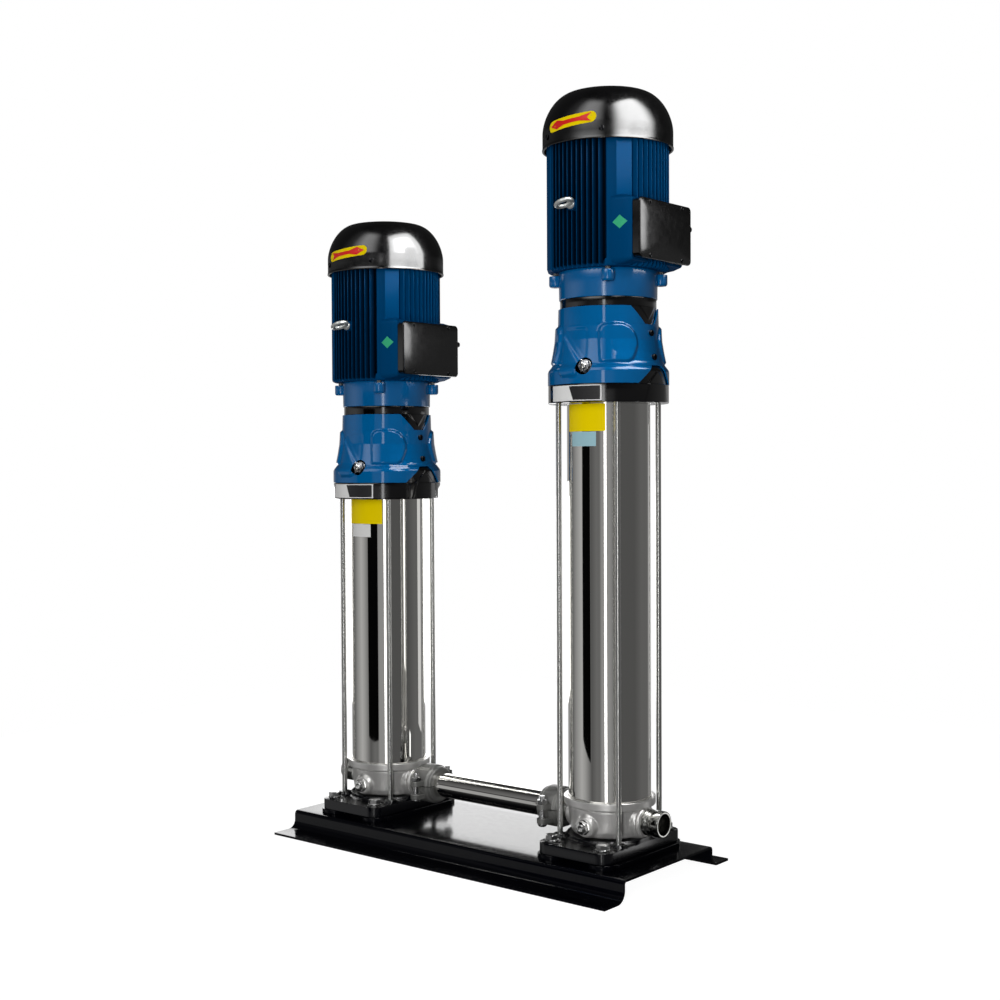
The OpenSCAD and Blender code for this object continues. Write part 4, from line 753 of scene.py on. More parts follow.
for side, pump in pumps.items():
    for name, front in (("Front", True), ("Rear", False)):
        piece = addPiece(side + "Guard" + name, [guardShell(pump["x"], pump["ring"], front)], guardPaint,
                         "blue_paint", replaced=(side + "_guard_" + name.lower(),))
        if front:
            x, y = polar(70, guard["vent"])
            centre = (pump["x"] + x, y, pump["ring"] + guard["low"] + guard["ventZ"])
            hole = [(0, 0), (guard["ventR"], 0), (guard["ventR"], 50), (0, 50)]
            drilled(piece, [turned(hole, centre, (x, y, 0), 48)])
print("stage: guards")

# Stool: the ring, two waisted columns that show in the guards' windows, and the band below the motor flange.
stool = {"ring": 97, "ringH": 29.6, "ringBore": 22, "bore": 67.4, "floor": 9, "bandLow": 151.2, "band": 166,
         "bandR": 77.4, "bandBore": 40, "sunk": 2.8, "column": 12, "lip": 4, "web": 1.1, "plugCircle": 74.4,
         "post": {"r": 12, "low": 28.6, "h": 39}, "neck": {"r": 10.5, "z": 56.6, "from": -2, "to": 12}}


# A column's skin follows r(z), and a triangle stands out at each end of its window between two lower edges.
def columnShell(centreX, ring, direction):
    g, s = guard, stool
    steps = [0, g["waistLow"], g["waistHigh"]]
    z = np.unique(np.concatenate([np.linspace(-s["ringH"] + 1.5, g["h"], 90), steps]))
    r = np.where(z < 0, s["ring"] + 0.5, skinRadius(z) - s["sunk"])
    waist = g["waist"] + 8
    half = np.interp(z, [-s["ringH"], *steps, g["h"]],
                     [g["skirt"] + 12, g["skirt"] + s["lip"], waist, waist, g["notch"] + s["lip"]])
    across = half[:, None] * np.linspace(-1, 1, 60)[None]
    arm = np.interp(z, [-s["ringH"], 0, g["waistLow"] - 6], [34, 24, 0])
    arm = np.where(z > g["waistHigh"] + 6, np.interp(z, [g["waistHigh"] + 6, g["h"]], [0, 22]), arm)
    rise = s["web"] * smoothStep((arm[:, None] - np.abs(across)) / 2.5)
    outer = r[:, None] + rise - s["web"] * 0.6
    level = np.broadcast_to(z[:, None] + ring + g["low"], across.shape)
    grids = []
    for radius in (outer, outer - s["column"]):
        x = np.sqrt(np.maximum(radius ** 2 - across ** 2, 1))
        grids.append(np.stack([centreX + direction * x, across, level], -1))
    return slab(*grids)


for side, pump in pumps.items():
    s, ring = stool, pump["ring"]
    post, neck = s["post"], s["neck"]
    centre = (pump["x"], 0, ring)
    ringLoop = [(s["bore"], 0), (s["ring"], 0), (s["ring"], s["ringH"]), (s["ringBore"], s["ringH"]),
                (s["ringBore"], s["floor"]), (s["bore"], s["floor"])]
    x, y = polar(s["plugCircle"], guard["vent"])
    parts = [hoop(ringLoop, 2, centre, around=192),
             hoop(square(s["bandBore"], s["bandR"], s["bandLow"], s["band"]), 1.4, centre, around=192),
             columnShell(pump["x"], ring, -1), columnShell(pump["x"], ring, 1),
             disc(post["r"], 0, post["h"], 3, (pump["x"] + x, y, ring + post["low"])),
             disc(neck["r"], neck["from"], neck["to"], 1, (pump["x"] + x, y, ring + neck["z"]), (x, y, 0))]
    addPiece(side + "Stool", parts, stoolBlack, "black_gloss", replaced=(side + "_motor_stool",))
print("stage: stools")

# Vent plug with its winged screw, behind the hole in the front guard.
vent = {"face": 86.4, "flats": 17.4, "head": 9, "seatR": 10.2, "cap": 6, "wing": 20, "wingThick": 2.4}
ventCap = [(0, 0), (4.2, 0), (4.2, 0.8), (vent["cap"], 1.4), (vent["cap"], 3.6), (4.6, 4.6), (0, 5)]
ventWing = pressed(roundRectangle(vent["wingThick"], vent["wing"], 1.1, 6),
                   [(0, 0.8), (2.6, 0), (5.6, 0), (6.4, 0.7)])
plugs = []
for side, pump in pumps.items():
    out = np.append(polar(1.0, guard["vent"]), 0)
    base = np.array([pump["x"], 0, pump["ring"] + guard["low"] + guard["ventZ"]])
    face, end = base + out * vent["face"], base + out * (vent["face"] + vent["head"])
    plugs.append(disc(vent["seatR"], -6, 1.2, 0.5, face, out))
    plugs.append(placed(hexHead(vent["flats"], vent["head"]), face, out, 20))
    parts = [turned(softened(ventCap, 1), end + out * 0.2, out, 40), placed(ventWing, end + out * 2.2, out)]
    addPiece(side + "VentScrew", parts, brightSteel, "bright_steel", body=side + "_vent",
             replaced=(side + "_vent_screw",))
addPiece("ventPlugs", plugs, greySteel, "bright_steel", replaced=("vent_plugs",))
print("stage: vents")

# Motor flange: a drum with four lugs.
drum = {"low": 166, "top": 210.7, "r": 79.5, "inner": 72, "bore": 40, "floor": 20, "lugCircle": 84.5,
        "lugR": 10.5, "lugLow": 188.2, "lugTop": 206.2, "azimuth": 35}


# The four places of the lugs about a pump's axis.
def lugPlaces(centreX, ring):
    for k in range(4):
        x, y = polar(drum["lugCircle"], drum["azimuth"] + 90 * k)
        yield centreX + x, y, ring


def flangeShell(centreX, ring):
    d = drum
    loop = [(d["bore"], d["low"]), (d["r"] - 0.6, d["low"]), (d["r"], d["top"]), (d["inner"], d["top"]),
            (d["inner"], d["low"] + d["floor"]), (d["bore"], d["low"] + d["floor"])]
    lug = softened([(0, d["lugLow"]), (d["lugR"] - 1.6, d["lugLow"]), (d["lugR"], d["lugLow"] + 3),
                    (d["lugR"], d["lugTop"]), (0, d["lugTop"])], 1.4)
    lugs = [turned(lug, place, around=48) for place in lugPlaces(centreX, ring)]
    return [hoop(loop, 1.2, (centreX, 0, ring), around=192)] + lugs


# Stator housing: one outline of parallel fins with round tips and four corner pads, drawn in at both ends.
housing = {"low": 210.7, "h": 205, "tip": 98.5, "root": 88, "fins": 11, "pitch": 8.9, "thick": 2.6, "pad": 32,
           "ridge": 43, "lugTop": 226, "lugR": 9}


# A quarter of the outline is the fins that look to the front and one corner; it is turned four times.
def finOutline(tip):
    f = housing
    offsets = (np.arange(f["fins"]) - (f["fins"] - 1) / 2)[:, None] * f["pitch"]
    end = np.radians(np.linspace(0, 180, 7))
    half = f["thick"] / 2
    rootY = np.sqrt((f["root"] - 0.2) ** 2 - offsets ** 2)
    tipX = offsets - np.cos(end) * half * 0.8
    tipY = -(np.sqrt(tip ** 2 - offsets ** 2) - half) - np.sin(end) * half
    spread = np.array([-half - 2.2, -half - 0.5])
    left = np.stack([offsets + spread, -rootY + [0.0, -0.8]], -1)
    right = np.stack([offsets - spread[::-1], -rootY + [-0.8, 0.0]], -1)
    fins = np.concatenate([left, np.stack([tipX, tipY], -1), right], 1).reshape(-1, 2)
    cornerX = f["tip"] * math.sin(math.radians(f["pad"]))
    rim = math.sqrt((tip - 0.5) ** 2 - cornerX ** 2)
    root = math.sqrt(f["root"] ** 2 - cornerX ** 2)
    ridge = polar(tip + 0.2, f["ridge"])
    corner = [(cornerX - 1.2, -root), (cornerX - 0.6, -root - 6), (cornerX + 0.4, -root - 7),
              ridge - [1.4, 0], ridge, ridge + [1, 1.2], (rim - 0.1, -cornerX - 1),
              (rim - 1.2, -cornerX + 0.3), (root, -cornerX + 1.2)]
    quarter = np.concatenate([fins, np.array(corner)])
    return np.concatenate([quarter @ turn(k * math.pi / 2) for k in range(4)])


# The outline at the levels of the ends, where its tips are drawn in.
def housingShell(centreX, ring):
    low, tip = housing["low"] + ring, housing["tip"]
    top = low + housing["h"]
    levels = [(low, 93.5), (low + 0.4, 95), (low + 2.2, 97.6), (low + 5, tip),
              (top - 4, tip), (top - 1, 97.4), (top, 95.5)]
    return loft([atLevel(finOutline(reach) + [centreX, 0], z) for z, reach in levels])


# Terminal box, and its seat: a slab that grows from the fins to a flat face.
box = {"seat": 95, "reach": 112.5, "w": 144, "h": 93, "low": 219.2, "cover": 5, "corner": 7}
seatTaper = [(60, 6), (80, 4), (box["seat"] - 1.2, 0)]  # x from the axis, and how far the seat is wider there


def boxLevel(ring):
    return ring + box["low"] + box["h"] / 2


# Plan points go to y and z about a level, and their height to x, so that pressed pieces grow along X.
def acrossX(centreX, level):
    def lift(flat, x):
        return np.stack([np.full(len(flat), centreX + x), flat[:, 0], level + flat[:, 1]], -1)
    return lift


def seatShell(centreX, ring):
    plan = roundRectangle(box["w"], box["h"] + 4, 5)
    levels = [(x, -wider) for x, wider in seatTaper] + [(box["seat"] - 0.05, 1)]
    return pressed(plan, levels, acrossX(centreX, boxLevel(ring)))


eye = {"z": 307.7, "ring": 12.6, "wire": 3.5, "tilt": -20, "y": -117.5}


# Ring: ((R + w cos b) cos a, (R + w cos b) sin a, w sin b), tilted about Y, on a turned collar.
def eyeBolt(centreX, ring):
    a = np.linspace(0, 2 * np.pi, 64, endpoint=False)[:, None]
    b = np.linspace(0, 2 * np.pi, 24, endpoint=False)[None] + 0 * a
    r = eye["ring"] + eye["wire"] * np.cos(b)
    flat = np.stack([r * np.cos(a), r * np.sin(a), eye["wire"] * np.sin(b)], -1)
    c, s = math.cos(math.radians(eye["tilt"])), math.sin(math.radians(eye["tilt"]))
    points = flat @ np.array([[c, 0, -s], [0, 1, 0], [s, 0, c]]) + [centreX, eye["y"], ring + eye["z"]]
    collar = softened([(0, 88), (4, 88), (4, 99.6), (7.4, 99.8), (7.4, 102.4), (5.4, 104.5), (0, 105.5)], 0.8)
    return [loft(points, looped=True), turned(collar, (centreX, 0, ring + eye["z"]), (0, -1, 0), 40)]


# Painted shade for a housing's paint, per point: 1 on pads, seat and low rim, at most 0.6 on the fins,
# falling to 0 towards their roots, so the fins and the gaps between them are darkened as painted shade.
def paintedFinShade(x, y, z):
    f = housing
    flat = (np.minimum(np.abs(x), np.abs(y)) > 50) | (x > 70) | (z < f["low"] + 3)
    return np.where(flat, 1.0, 0.6 * smoothStep((np.hypot(x, y) - f["tip"] + 2.2) / 2.2))


eyeBoss = softened([(0, 80), (10, 80), (9, 99.5), (0, 99.5)], 1)
housingLug = softened([(0, housing["low"] + 0.1), (housing["lugR"], housing["low"] + 0.1),
                       (housing["lugR"], housing["lugTop"] - 4), (4, housing["lugTop"]),
                       (0, housing["lugTop"])], 1.5)
eyeParts = []
for side, pump in pumps.items():
    x, ring = pump["x"], pump["ring"]
    addPiece(side + "Flange", flangeShell(x, ring), bluePaint, "blue_paint",
             replaced=(side + "_motor_flange",))
    parts = [housingShell(x, ring), seatShell(x, ring),
             turned(eyeBoss, (x, 0, ring + eye["z"]), (0, -1, 0), 40)]
    parts += [turned(housingLug, place, around=36) for place in lugPlaces(x, ring)]
    piece = addPiece(side + "Housing", parts, finPaintWithShade, "blue_paint", replaced=(side + "_stator_housing",))
    # Painted shade: each point's share of the colour is stored on the mesh for the fins' paint.
    mesh = piece.data
    spots = np.empty(3 * len(mesh.vertices))
    mesh.vertices.foreach_get("co", spots)
    spots = spots.reshape(-1, 3) / mm - [x, 0, ring]
    shares = paintedFinShade(*spots.T).astype(np.float32)
    mesh.attributes.new("paintedFinShade", "FLOAT", "POINT").data.foreach_set("value", shares)
    eyeParts += eyeBolt(x, ring)
addPiece("eyeBolts", eyeParts, satinSteel, "bright_steel", replaced=("eye_bolts",))
print("stage: motors")

# Cowl: a skirt, an oval shoulder and a flat top whose slots lie open between rings and webs.
cowl = {"low": 405.2, "h": 89.6, "r": 104.8, "flat": 60, "skirt": 27, "power": 1.14, "wall": 2.4, "mouth": 54,
        "hub": 13, "rings": (17.5, 26.5, 35.5, 44.5), "slot": 4.5, "web": 5}


# The shoulder: r = flat + (R - flat) cos(a)^p, z = skirt + (h - skirt) sin(a)^p, drawn in by a wall.
def shoulder(wall):
    c = cowl
    a = np.radians(np.linspace(0, 90, 40))
    return np.stack([c["flat"] + (c["r"] - c["flat"] - wall) * np.cos(a) ** c["power"],
                     c["skirt"] + (c["h"] - c["skirt"] - wall) * np.sin(a) ** c["power"]], -1)


def cowlShell(centreX, ring):
    r, h, wall = cowl["r"], cowl["h"], cowl["wall"]
    skirt = softened([(r - wall, 0), (r + 0.7, 0), (r + 0.7, 2.2), (r, 4.2), (r, 14)], 0.7)
    mouth = [(cowl["mouth"], h), (cowl["mouth"], h - wall)]
    centre = (centreX, 0, ring + cowl["low"])
    loop = np.concatenate([skirt, shoulder(0), mouth, shoulder(wall)[::-1]])
    parts = [turned(loop, centre, around=256, looped=True)]
    parts += [hoop(square(bore, bore + cowl["slot"], h - wall, h), 0.6, centre) for bore in cowl["rings"]]
    parts.append(disc(cowl["hub"], h - wall, h, 0.6, centre, around=64))
    for k in range(3):
        web = roundRectangle(2 * cowl["mouth"] + 4, cowl["web"], 1, 3) @ turn(k * math.pi / 3) + [centreX, 0]
        parts.append(pressed(web, [(centre[2] + h - wall, 0), (centre[2] + h - 0.1, 0)]))
    return parts


# The cover's crown: (share of the outline, height over its foot, or under its top when it is below 0).
coverRings = ((1, 0.4), (1, 1.2), (0.997, 2.4), (0.985, 3.6), (0.965, 3.9),
              (0.9, -0.75), (0.7, -0.3), (0.35, -0.04))


# Terminal cover: one rounded rectangle pressed along X, in rings that shrink towards its crown.
def coverShell(centreX, ring):
    top = box["reach"]
    toBox = acrossX(centreX, boxLevel(ring))
    plan = finerLoop(roundRectangle(box["w"], box["h"], box["corner"], 12), 4)
    rings = []
    for share, x in coverRings:
        x += top if x < 0 else top - box["cover"]
        rings.append(toBox(plan * [share if share < 0.9 else 1 - (1 - share) * 0.6, share], x))
    return loft(rings)


for side, pump in pumps.items():
    x, ring = pump["x"], pump["ring"]
    plan = roundRectangle(box["w"] - 3, box["h"] - 3, box["corner"], 10)
    levels = [(box["seat"] + 0.3, 0.5), (box["seat"] + 1, 0), (box["reach"] - box["cover"] - 0.2, 0)]
    forms = {"Cowl": ("_fan_cowl", cowlShell(x, ring)),
             "TerminalBox": ("_terminal_box", [pressed(plan, levels, acrossX(x, boxLevel(ring)))]),
             "TerminalCover": ("_terminal_cover", [coverShell(x, ring)])}
    for name, (ending, parts) in forms.items():
        addPiece(side + name, parts, blackPlastic, "black_plastic", replaced=(side + ending,))
print("stage: cowls and boxes")

# Small screws: two in each side of the guards, four round the cowl, four in the cover.
screw = {"guardLevels": (42, 80), "cowlAzimuths": (-30, 30, 150, 210), "cowlLevel": 420.2, "coverY": 45,
         "coverMargin": 5.5, "guard": (5, 4, 5), "cowl": (8, 2.6), "cover": (3.2, 1.4, 3)}
screws = []
for pump in pumps.values():
    x, ring = pump["x"], pump["ring"]
    for direction in (-1, 1):
        for z in screw["guardLevels"]:
            face = x + direction * (float(skinRadius(np.array(z))) - 0.8)
            centre = (face, 0, ring + guard["low"] + z)
            screws.append(socketHead(*screw["guard"], centre, (direction, 0, 0)))
    for screwAzimuth in screw["cowlAzimuths"]:
        px, py = polar(cowl["r"] - 0.6, screwAzimuth)
        centre = (x + px, py, ring + screw["cowlLevel"])
        screws.append(placed(hexHead(*screw["cowl"]), centre, (px, py, 0), 10))
    for direction in (-1, 1):
        for z in (screw["coverMargin"], box["h"] - screw["coverMargin"]):
            centre = (x + box["reach"] - 1.2, direction * screw["coverY"], ring + box["low"] + z)
            screws.append(socketHead(*screw["cover"], centre, (1, 0, 0)))
addPiece("casingScrews", screws, blackGloss, "black_steel", replaced=("casing_screws",))
print("stage: screws")


# Plates and labels: thin curved shells r(azimuth, z), raised a little over what carries them.
def curvedLabel(centreX, r, azimuths, levels, thick=0.35):
    az, z = np.meshgrid(np.linspace(*azimuths, 40), np.linspace(*levels, 12))
    return curvedShell(centreX, r + thick, r + 0.02, az, z)


# The plate on the stool's ring, and its dark field, whose left edge leans and whose border stays light.
plate = {"azimuths": (-29, 29), "levels": (2.6, 27), "thick": 0.5, "darkLevels": (4, 25.6),
         "darkLeft": (0.5, -4), "darkRight": 27.6, "darkLow": 0.3, "darkHigh": 0.62}


def leaningField(centreX, ring):
    p = plate
    low, high = (ring + level for level in p["darkLevels"])
    z = np.linspace(low, high, 12)[:, None] + np.zeros((1, 30))
    left = np.interp(z[:, :1], [low, high], p["darkLeft"])
    az = left + (p["darkRight"] - left) * np.linspace(0, 1, 30)[None]
    return curvedShell(centreX, stool["ring"] + p["darkHigh"], stool["ring"] + p["darkLow"], az, z)


# the labels below the ring: depths below it, and azimuths in degrees, which differ on the two pumps
labels = {"sleeveLeft": -33.5, "sleeve": (44.5, 1), "small": (68, 45.2),
          "right": (paleBlueFilm, (-24, 18), 31), "left": (whiteFilm, (-23, 17), 36)}
for side, pump in pumps.items():
    x, ring = pump["x"], pump["ring"]
    smallFilm, smallAzimuths, sleeveRight = labels[side]
    levels = [ring + level for level in plate["levels"]]
    addPiece(side + "Plate", [curvedLabel(x, stool["ring"], plate["azimuths"], levels, plate["thick"])],
             whiteFilm, "bright_steel")
    addPiece(side + "PlateDark", [leaningField(x, ring)], darkFilm, "bright_steel")
    for name, material, azimuths, levels in (
            ("SleeveLabel", yellowFilm, (labels["sleeveLeft"], sleeveRight), labels["sleeve"]),
            ("SmallLabel", smallFilm, smallAzimuths, labels["small"])):
        label = curvedLabel(x, sleeve["r"], azimuths, [ring - level for level in levels])
        addPiece(side + name, [label], material, "stainless")


# The cowl's radius at a height above its foot: the shoulder's formula solved for r.
def cowlRadius(z):
    c = cowl
    share = np.clip((z - c["skirt"]) / (c["h"] - c["skirt"]), 0, 1) ** (1 / c["power"])
    rounded = c["flat"] + (c["r"] - c["flat"]) * np.sqrt(1 - share ** 2) ** c["power"]
    return np.where(z < c["skirt"], c["r"], rounded)


# The arrow label on the cowl: a capsule and an arrow, which climb slowly to the right; outlines in mm.
arrow = {"half": 46, "r": 8.8, "z": 30.5, "azimuth": 0.5, "climb": 3.4 / 45, "thick": 0.3, "arrowThick": 0.5}
caps = np.radians(np.linspace(-90, 90, 12))
rightCap = np.stack([arrow["half"] - arrow["r"] + arrow["r"] * np.cos(caps), arrow["r"] * np.sin(caps)], -1)
capsule = finerLoop(np.concatenate([rightCap, -rightCap]), 3)
arrowShape = finerLoop([(-41, 0), (-26, 7), (-26, 3.2), (22, 3.2), (38, 7), (31, 0), (38, -7), (22, -3.2),
                        (-26, -3.2), (-26, -7)], 2.5)


# An outline wrapped round the skirt: azimuth = x / R, z = y + climb x, in rings that shrink to its middle.
def wrapped(centreX, ring, outline, raised):
    middle = outline.mean(0)
    rings = []
    for share, offset in ((1, 0.05), (1, raised), (0.66, raised), (0.33, raised), (0.02, raised)):
        flat = middle + (outline - middle) * share
        z = flat[:, 1] + arrow["climb"] * flat[:, 0] + arrow["z"]
        azimuths = np.degrees(flat[:, 0] / cowl["r"]) + arrow["azimuth"]
        skin = polar(cowlRadius(z) + offset, azimuths) + [centreX, 0]
        rings.append(np.concatenate([skin, (z + ring + cowl["low"])[:, None]], -1))
    return loft(rings)


for side, pump in pumps.items():
    way = {"right": 1, "left": -1}[side]
    for name, outline, raised, material in (("ArrowLabel", capsule, arrow["thick"], yellowFilm),
                                            ("Arrow", arrowShape * [way, 1], arrow["arrowThick"], redInk)):
        label = wrapped(pump["x"], pump["ring"], outline, raised)
        addPiece(side + name, [label], material, "black_plastic", smooth=20)

# The green diamonds on the box seats' front faces.
mark = {"x": 76, "z": 276, "half": 12.5, "rise": 10.5, "thick": 0.3}
diamond = finerLoop([(mark["half"], 0), (0, mark["rise"]), (-mark["half"], 0), (0, -mark["rise"])], 3)
markParts = []
for pump in pumps.values():
    rings = []
    for share, out in [(1, 0.02)] + [(share, mark["thick"]) for share in (1, 0.7, 0.4, 0.02)]:
        across, up = mark["x"] + diamond[:, 0] * share, mark["z"] + diamond[:, 1] * share
        seatFace = box["w"] / 2 + np.interp(across, *zip(*seatTaper))
        rings.append(np.stack([pump["x"] + across, -seatFace - out, pump["ring"] + up], -1))
    markParts.append(loft(rings))
addPiece("seatMarks", markParts, greenFilm, "blue_paint", smooth=20)
print("stage: labels")

# Camera: fitted to the photo. Turn and tilt in degrees, place in mm, focal length in picture widths.
camera = {"place": (1616.97, -1940.37, 667.42), "yaw": 39.46, "pitch": 1.48, "roll": -0.29, "focal": 1.4657,
          "sensor": 36}
yaw, pitch, roll = (math.radians(camera[key]) for key in ("yaw", "pitch", "roll"))
ahead = Vector((-math.sin(yaw) * math.cos(pitch), math.cos(yaw) * math.cos(pitch), -math.sin(pitch)))
level = Vector((math.cos(yaw), math.sin(yaw), 0))
upright = level.cross(ahead)
rolledRight = math.cos(roll) * level + math.sin(roll) * upright
rolledUp = -math.sin(roll) * level + math.cos(roll) * upright
lens = bpy.data.cameras.new("photoCamera")
lens.sensor_width = camera["sensor"]
lens.lens = camera["sensor"] * camera["focal"]
lens.clip_end = 50
photoCamera = bpy.data.objects.new("photoCamera", lens)
looking = Matrix((rolledRight, rolledUp, -ahead)).transposed().to_4x4()
photoCamera.matrix_world = Matrix.Translation(Vector(camera["place"]) * mm) @ looking
bpy.context.scene.collection.objects.link(photoCamera)
bpy.context.scene.camera = photoCamera
bpy.context.scene.view_settings.view_transform = "Standard"

# Studio: a light table as floor, a white background, and a dark room with cards for the metal to mirror.
# Lengths are in metres. A card stands between two plan points and two heights; its fading dims it along Y.
studio = {"floor": 3.2, "table": 0.97, "paper": 0.22, "white": 1.0, "ambient": 0.07}
cards = {
    "darkFlag": {"ends": ((-0.58, -0.94), (-0.03, -0.94)), "heights": (0, 0.85), "glow": 0.0},
    "backCard": {"ends": ((0.01, 0.96), (0.35, 0.96)), "heights": (0, 0.75), "glow": 0.7},
    "lowCard": {"ends": ((-1.11, 0.26), (-0.3, 0.92)), "heights": (0.1, 0.62), "glow": 2.8},
    "sideCard": {"ends": ((1.05, -0.95), (1.05, 0.58)), "heights": (1.325, 2.7), "glow": 11.0,
                 "fading": [(-0.95, 0), (-0.35, 1), (0.1, 1), (0.58, 0)]},
}


# A flat card seen by mirrors only, unless it is the floor.
def card(name, corners, material, mirrored=True):
    mesh = bpy.data.meshes.new(name)
    mesh.from_pydata(corners, [], [(0, 1, 2, 3)])
    mesh.materials.append(material)
    piece = bpy.data.objects.new(name, mesh)
    bpy.context.scene.collection.objects.link(piece)
    piece.visible_camera = not mirrored
    piece.visible_glossy = mirrored
    piece.visible_diffuse = False
    piece.visible_shadow = False


# A plain surface that also gives off light by itself. Fading stops (y, share) dim it along Y, in metres.
def glowing(name, tone, glow, fading=()):
    material = shader(name, (tone,) * 3, roughness=0.9, specular=0.1)
    tree = material.node_tree
    sockets = tree.nodes["Principled BSDF"].inputs
    sockets["Emission Color"].default_value = (1, 1, 1, 1)
    sockets["Emission Strength"].default_value = glow
    if fading:
        low, high = fading[0][0], fading[-1][0]
        place = addNode(tree, "SeparateXYZ", [("Vector", addNode(tree, "TexCoord").outputs["Object"])])
        place = place.outputs["Y"]
        along = addNode(tree, "MapRange", [("Value", place), ("From Min", low), ("From Max", high)])
        fade = addNode(tree, "ValToRGB", [("Fac", along.outputs["Result"])])
        fade.color_ramp.interpolation = "EASE"
        fillRamp(fade.color_ramp, [((y - low) / (high - low), share) for y, share in fading])
        tree.links.new(fade.outputs["Color"], sockets["Emission Color"])
    return material


# Sets a ramp's stops from (place, tone), with the first at 0 and the last at 1.
def fillRamp(ramp, stops):
    for place, tone in stops:
        stop = ramp.elements.new(place) if 0 < place < 1 else ramp.elements[0 if place < 0.5 else -1]
        stop.color = (tone, tone, tone, 1)


half = studio["floor"] / 2
card("floor", [(-half, -half, 0), (half, -half, 0), (half, half, 0), (-half, half, 0)],
     glowing("floorTable", studio["paper"], studio["table"]), mirrored=False)
for name, c in cards.items():
    (start, end), (low, high) = c["ends"], c["heights"]
    card(name, [(*start, low), (*end, low), (*end, high), (*start, high)],
         glowing(name + "Paper", 0.0, c["glow"], c.get("fading", ())))

# Tones that the metal mirrors, by azimuth in degrees (0 is the front, 90 is +X): near the level and above it.
# The heights, in degrees, are where one set starts to give way to the next and where it is gone.
levelTones = [(-180, 0.3), (-130, 0.35), (-112, 0.3), (-97, 0.09), (-84, 0.15), (-70, 0.28), (-48, 0.45),
              (-36, 0.36), (-15, 0.1), (0, 0.16), (9, 0.15), (15, 0.3), (36, 0.3), (43, 0.24), (50, 0.09),
              (110, 0.09), (135, 0.13), (165, 0.13), (180, 0.3)]
backTones = [(-180, 0.04), (-120, 0.05), (-80, 0.12), (-50, 0.05), (-20, 0.03), (40, 0.04), (60, 0.05),
             (102, 0.1), (135, 0.1), (150, 0.03), (180, 0.03)]
boxTones = [(-180, 0.03), (-60, 0.04), (-34, 0.2), (-8, 2.4), (14, 2.0), (30, 0.02), (90, 0.04), (180, 0.03)]
room = {"dark": 0.03, "below": (-16, -13.5), "back": (6.0, 8.4), "box": (11.5, 16), "top": (58, 70)}
world = bpy.data.worlds.new("room")
bpy.context.scene.world = world
world.use_nodes = True
worldTree = world.node_tree


def roomNode(kind, values=(), **settings):
    return addNode(worldTree, kind, values, **settings)


# A ramp over the azimuth, from a list of (degrees, tone); its tones are kept below 1 and scaled up after it.
def toneRamp(tones):
    most = max(tone for _, tone in tones)
    made = roomNode("ValToRGB", [("Fac", azimuthShare)])
    fillRamp(made.color_ramp, [((place + 180) / 360, tone / most) for place, tone in tones])
    return roomNode("VectorMath", [(0, made.outputs["Color"]), ("Scale", most)], operation="SCALE").outputs[0]


# 0 below one height and 1 above another, in degrees.
def aboveHeight(limits):
    low, high = (math.radians(limit) for limit in limits)
    return roomNode("MapRange", [("Value", height), ("From Min", low), ("From Max", high)],
                    interpolation_type="SMOOTHSTEP").outputs[0]


# The first colour at a share of 0 and the second at 1.
def mixed(share, first, second):
    return roomNode("Mix", [(0, share), (6, first), (7, second)], data_type="RGBA").outputs[2]


# A grey as a colour value.
def grey(tone):
    return (tone, tone, tone, 1)


direction = roomNode("SeparateXYZ", [("Vector", roomNode("TexCoord").outputs["Generated"])]).outputs
backwards = roomNode("Math", [(0, direction["Y"]), (1, -1.0)], operation="MULTIPLY").outputs[0]
azimuth = roomNode("Math", [(0, direction["X"]), (1, backwards)], operation="ARCTAN2").outputs[0]
azimuthShare = roomNode("MapRange", [("Value", azimuth), ("From Min", -math.pi),
                                     ("From Max", math.pi)]).outputs[0]
height = roomNode("Math", [(0, direction["Z"])], operation="ARCSINE").outputs[0]
tones = mixed(aboveHeight(room["back"]), toneRamp(levelTones), toneRamp(backTones))
tones = mixed(aboveHeight(room["box"]), tones, toneRamp(boxTones))
tones = mixed(aboveHeight(room["top"]), tones, grey(room["dark"]))
tones = mixed(aboveHeight(room["below"]), grey(room["dark"]), tones)
ray = roomNode("LightPath").outputs
plain = mixed(ray["Is Camera Ray"], grey(studio["ambient"]), grey(studio["white"]))
worldTree.links.new(mixed(ray["Is Glossy Ray"], plain, tones), worldTree.nodes["Background"].inputs["Color"])

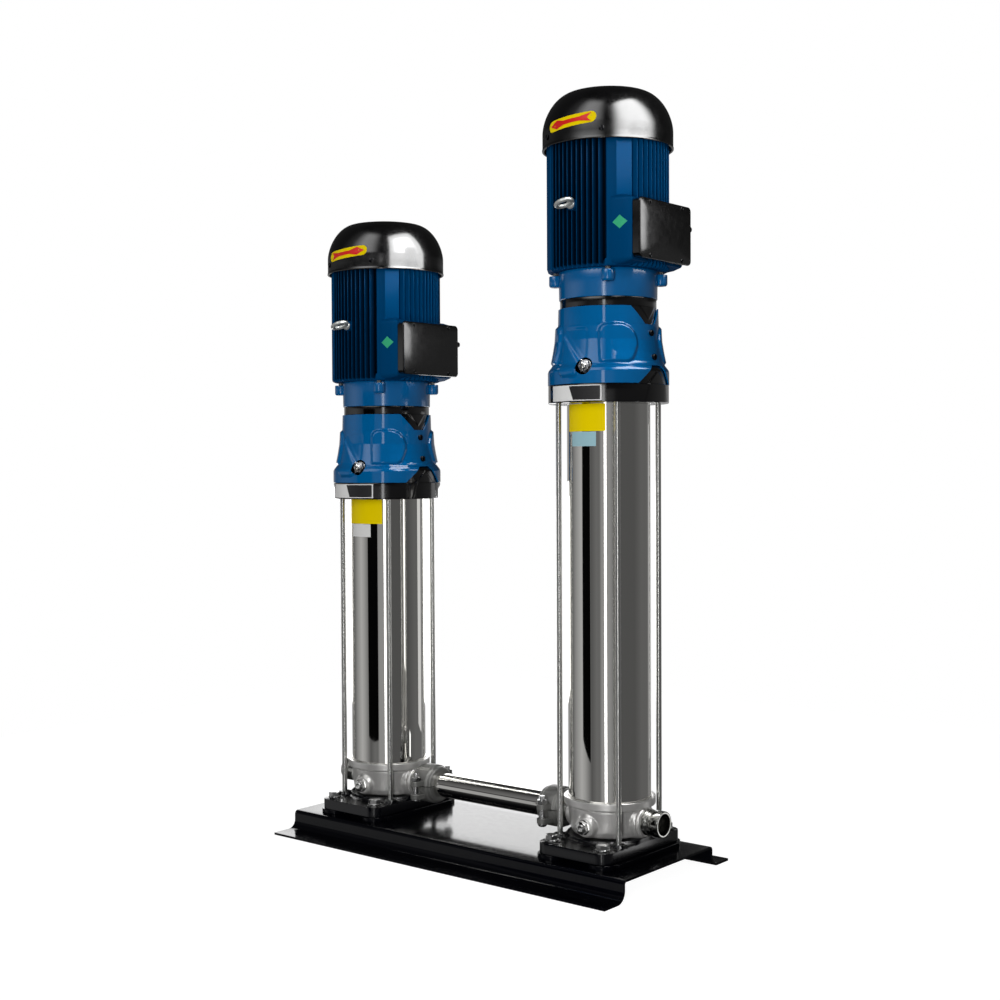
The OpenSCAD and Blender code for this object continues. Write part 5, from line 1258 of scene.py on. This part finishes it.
# Area lamps, in metres. The cover lamps stand behind the terminal covers, betweenLamp between the pumps for
# the left cowl, and endLamp behind the discharge stub; these are only mirrored.
lampRise = {"cover": 0.338, "between": 0.645}
rightCover = pumps["right"]["ring"] * mm + lampRise["cover"]
leftCover = pumps["left"]["ring"] * mm + lampRise["cover"]
betweenZ = pumps["left"]["ring"] * mm + lampRise["between"]
lamps = {  # place, target, (width, height), tone, and the kind of ray that doesn't see it
    "stripLamp": ((1.34, -2.29, 0.43), (0.1, 0, 0.43), (0.26, 1.84), 3.5, ""),
    "frontLamp": ((1.34, -2.29, 0.6), (0.1, 0, 0.6), (0.36, 2.2), 14.9, "glossy"),
    "leftLamp": ((-2.6, -1.4, 1.2), (0, 0, 0.7), (1.0, 2.0), 1.9, "glossy"),
    "topLamp": ((0.2, -0.6, 3.0), (0, 0, 0.5), (1.6, 1.2), 1.33, "glossy"),
    "rightCoverLamp": ((0.607, 0.11, rightCover), (0.357, 0.05, rightCover), (0.22, 0.12), 4.2, "diffuse"),
    "leftCoverLamp": ((0.155, 0.085, leftCover), (-0.095, 0.025, leftCover), (0.22, 0.12), 4.2, "diffuse"),
    "betweenLamp": ((0.02, -0.06, betweenZ), (-0.2, -0.06, betweenZ), (0.32, 0.42), 8.5, "diffuse"),
    "endLamp": ((0.571, 0.313, 0.001), (0.352, 0, 0.093), (0.074, 0.058), 1.6, "diffuse"),
}


# A rectangular lamp that looks from its place to a target: power = pi * tone * width * height.
def softLamp(name, place, target, size, tone, unseenBy):
    lamp = bpy.data.lights.new(name, "AREA")
    lamp.shape = "RECTANGLE"
    lamp.size, lamp.size_y = size
    lamp.energy = math.pi * tone * size[0] * size[1]
    holder = bpy.data.objects.new(name, lamp)
    towards = (Vector(target) - Vector(place)).to_track_quat("-Z", "Y").to_matrix().to_4x4()
    holder.matrix_world = Matrix.Translation(Vector(place)) @ towards
    holder.visible_glossy = unseenBy != "glossy"
    holder.visible_diffuse = unseenBy != "diffuse"
    bpy.context.scene.collection.objects.link(holder)


for name, lampValues in lamps.items():
    softLamp(name, *lampValues)
print("stage: camera and studio")

bpy.context.view_layer.update()
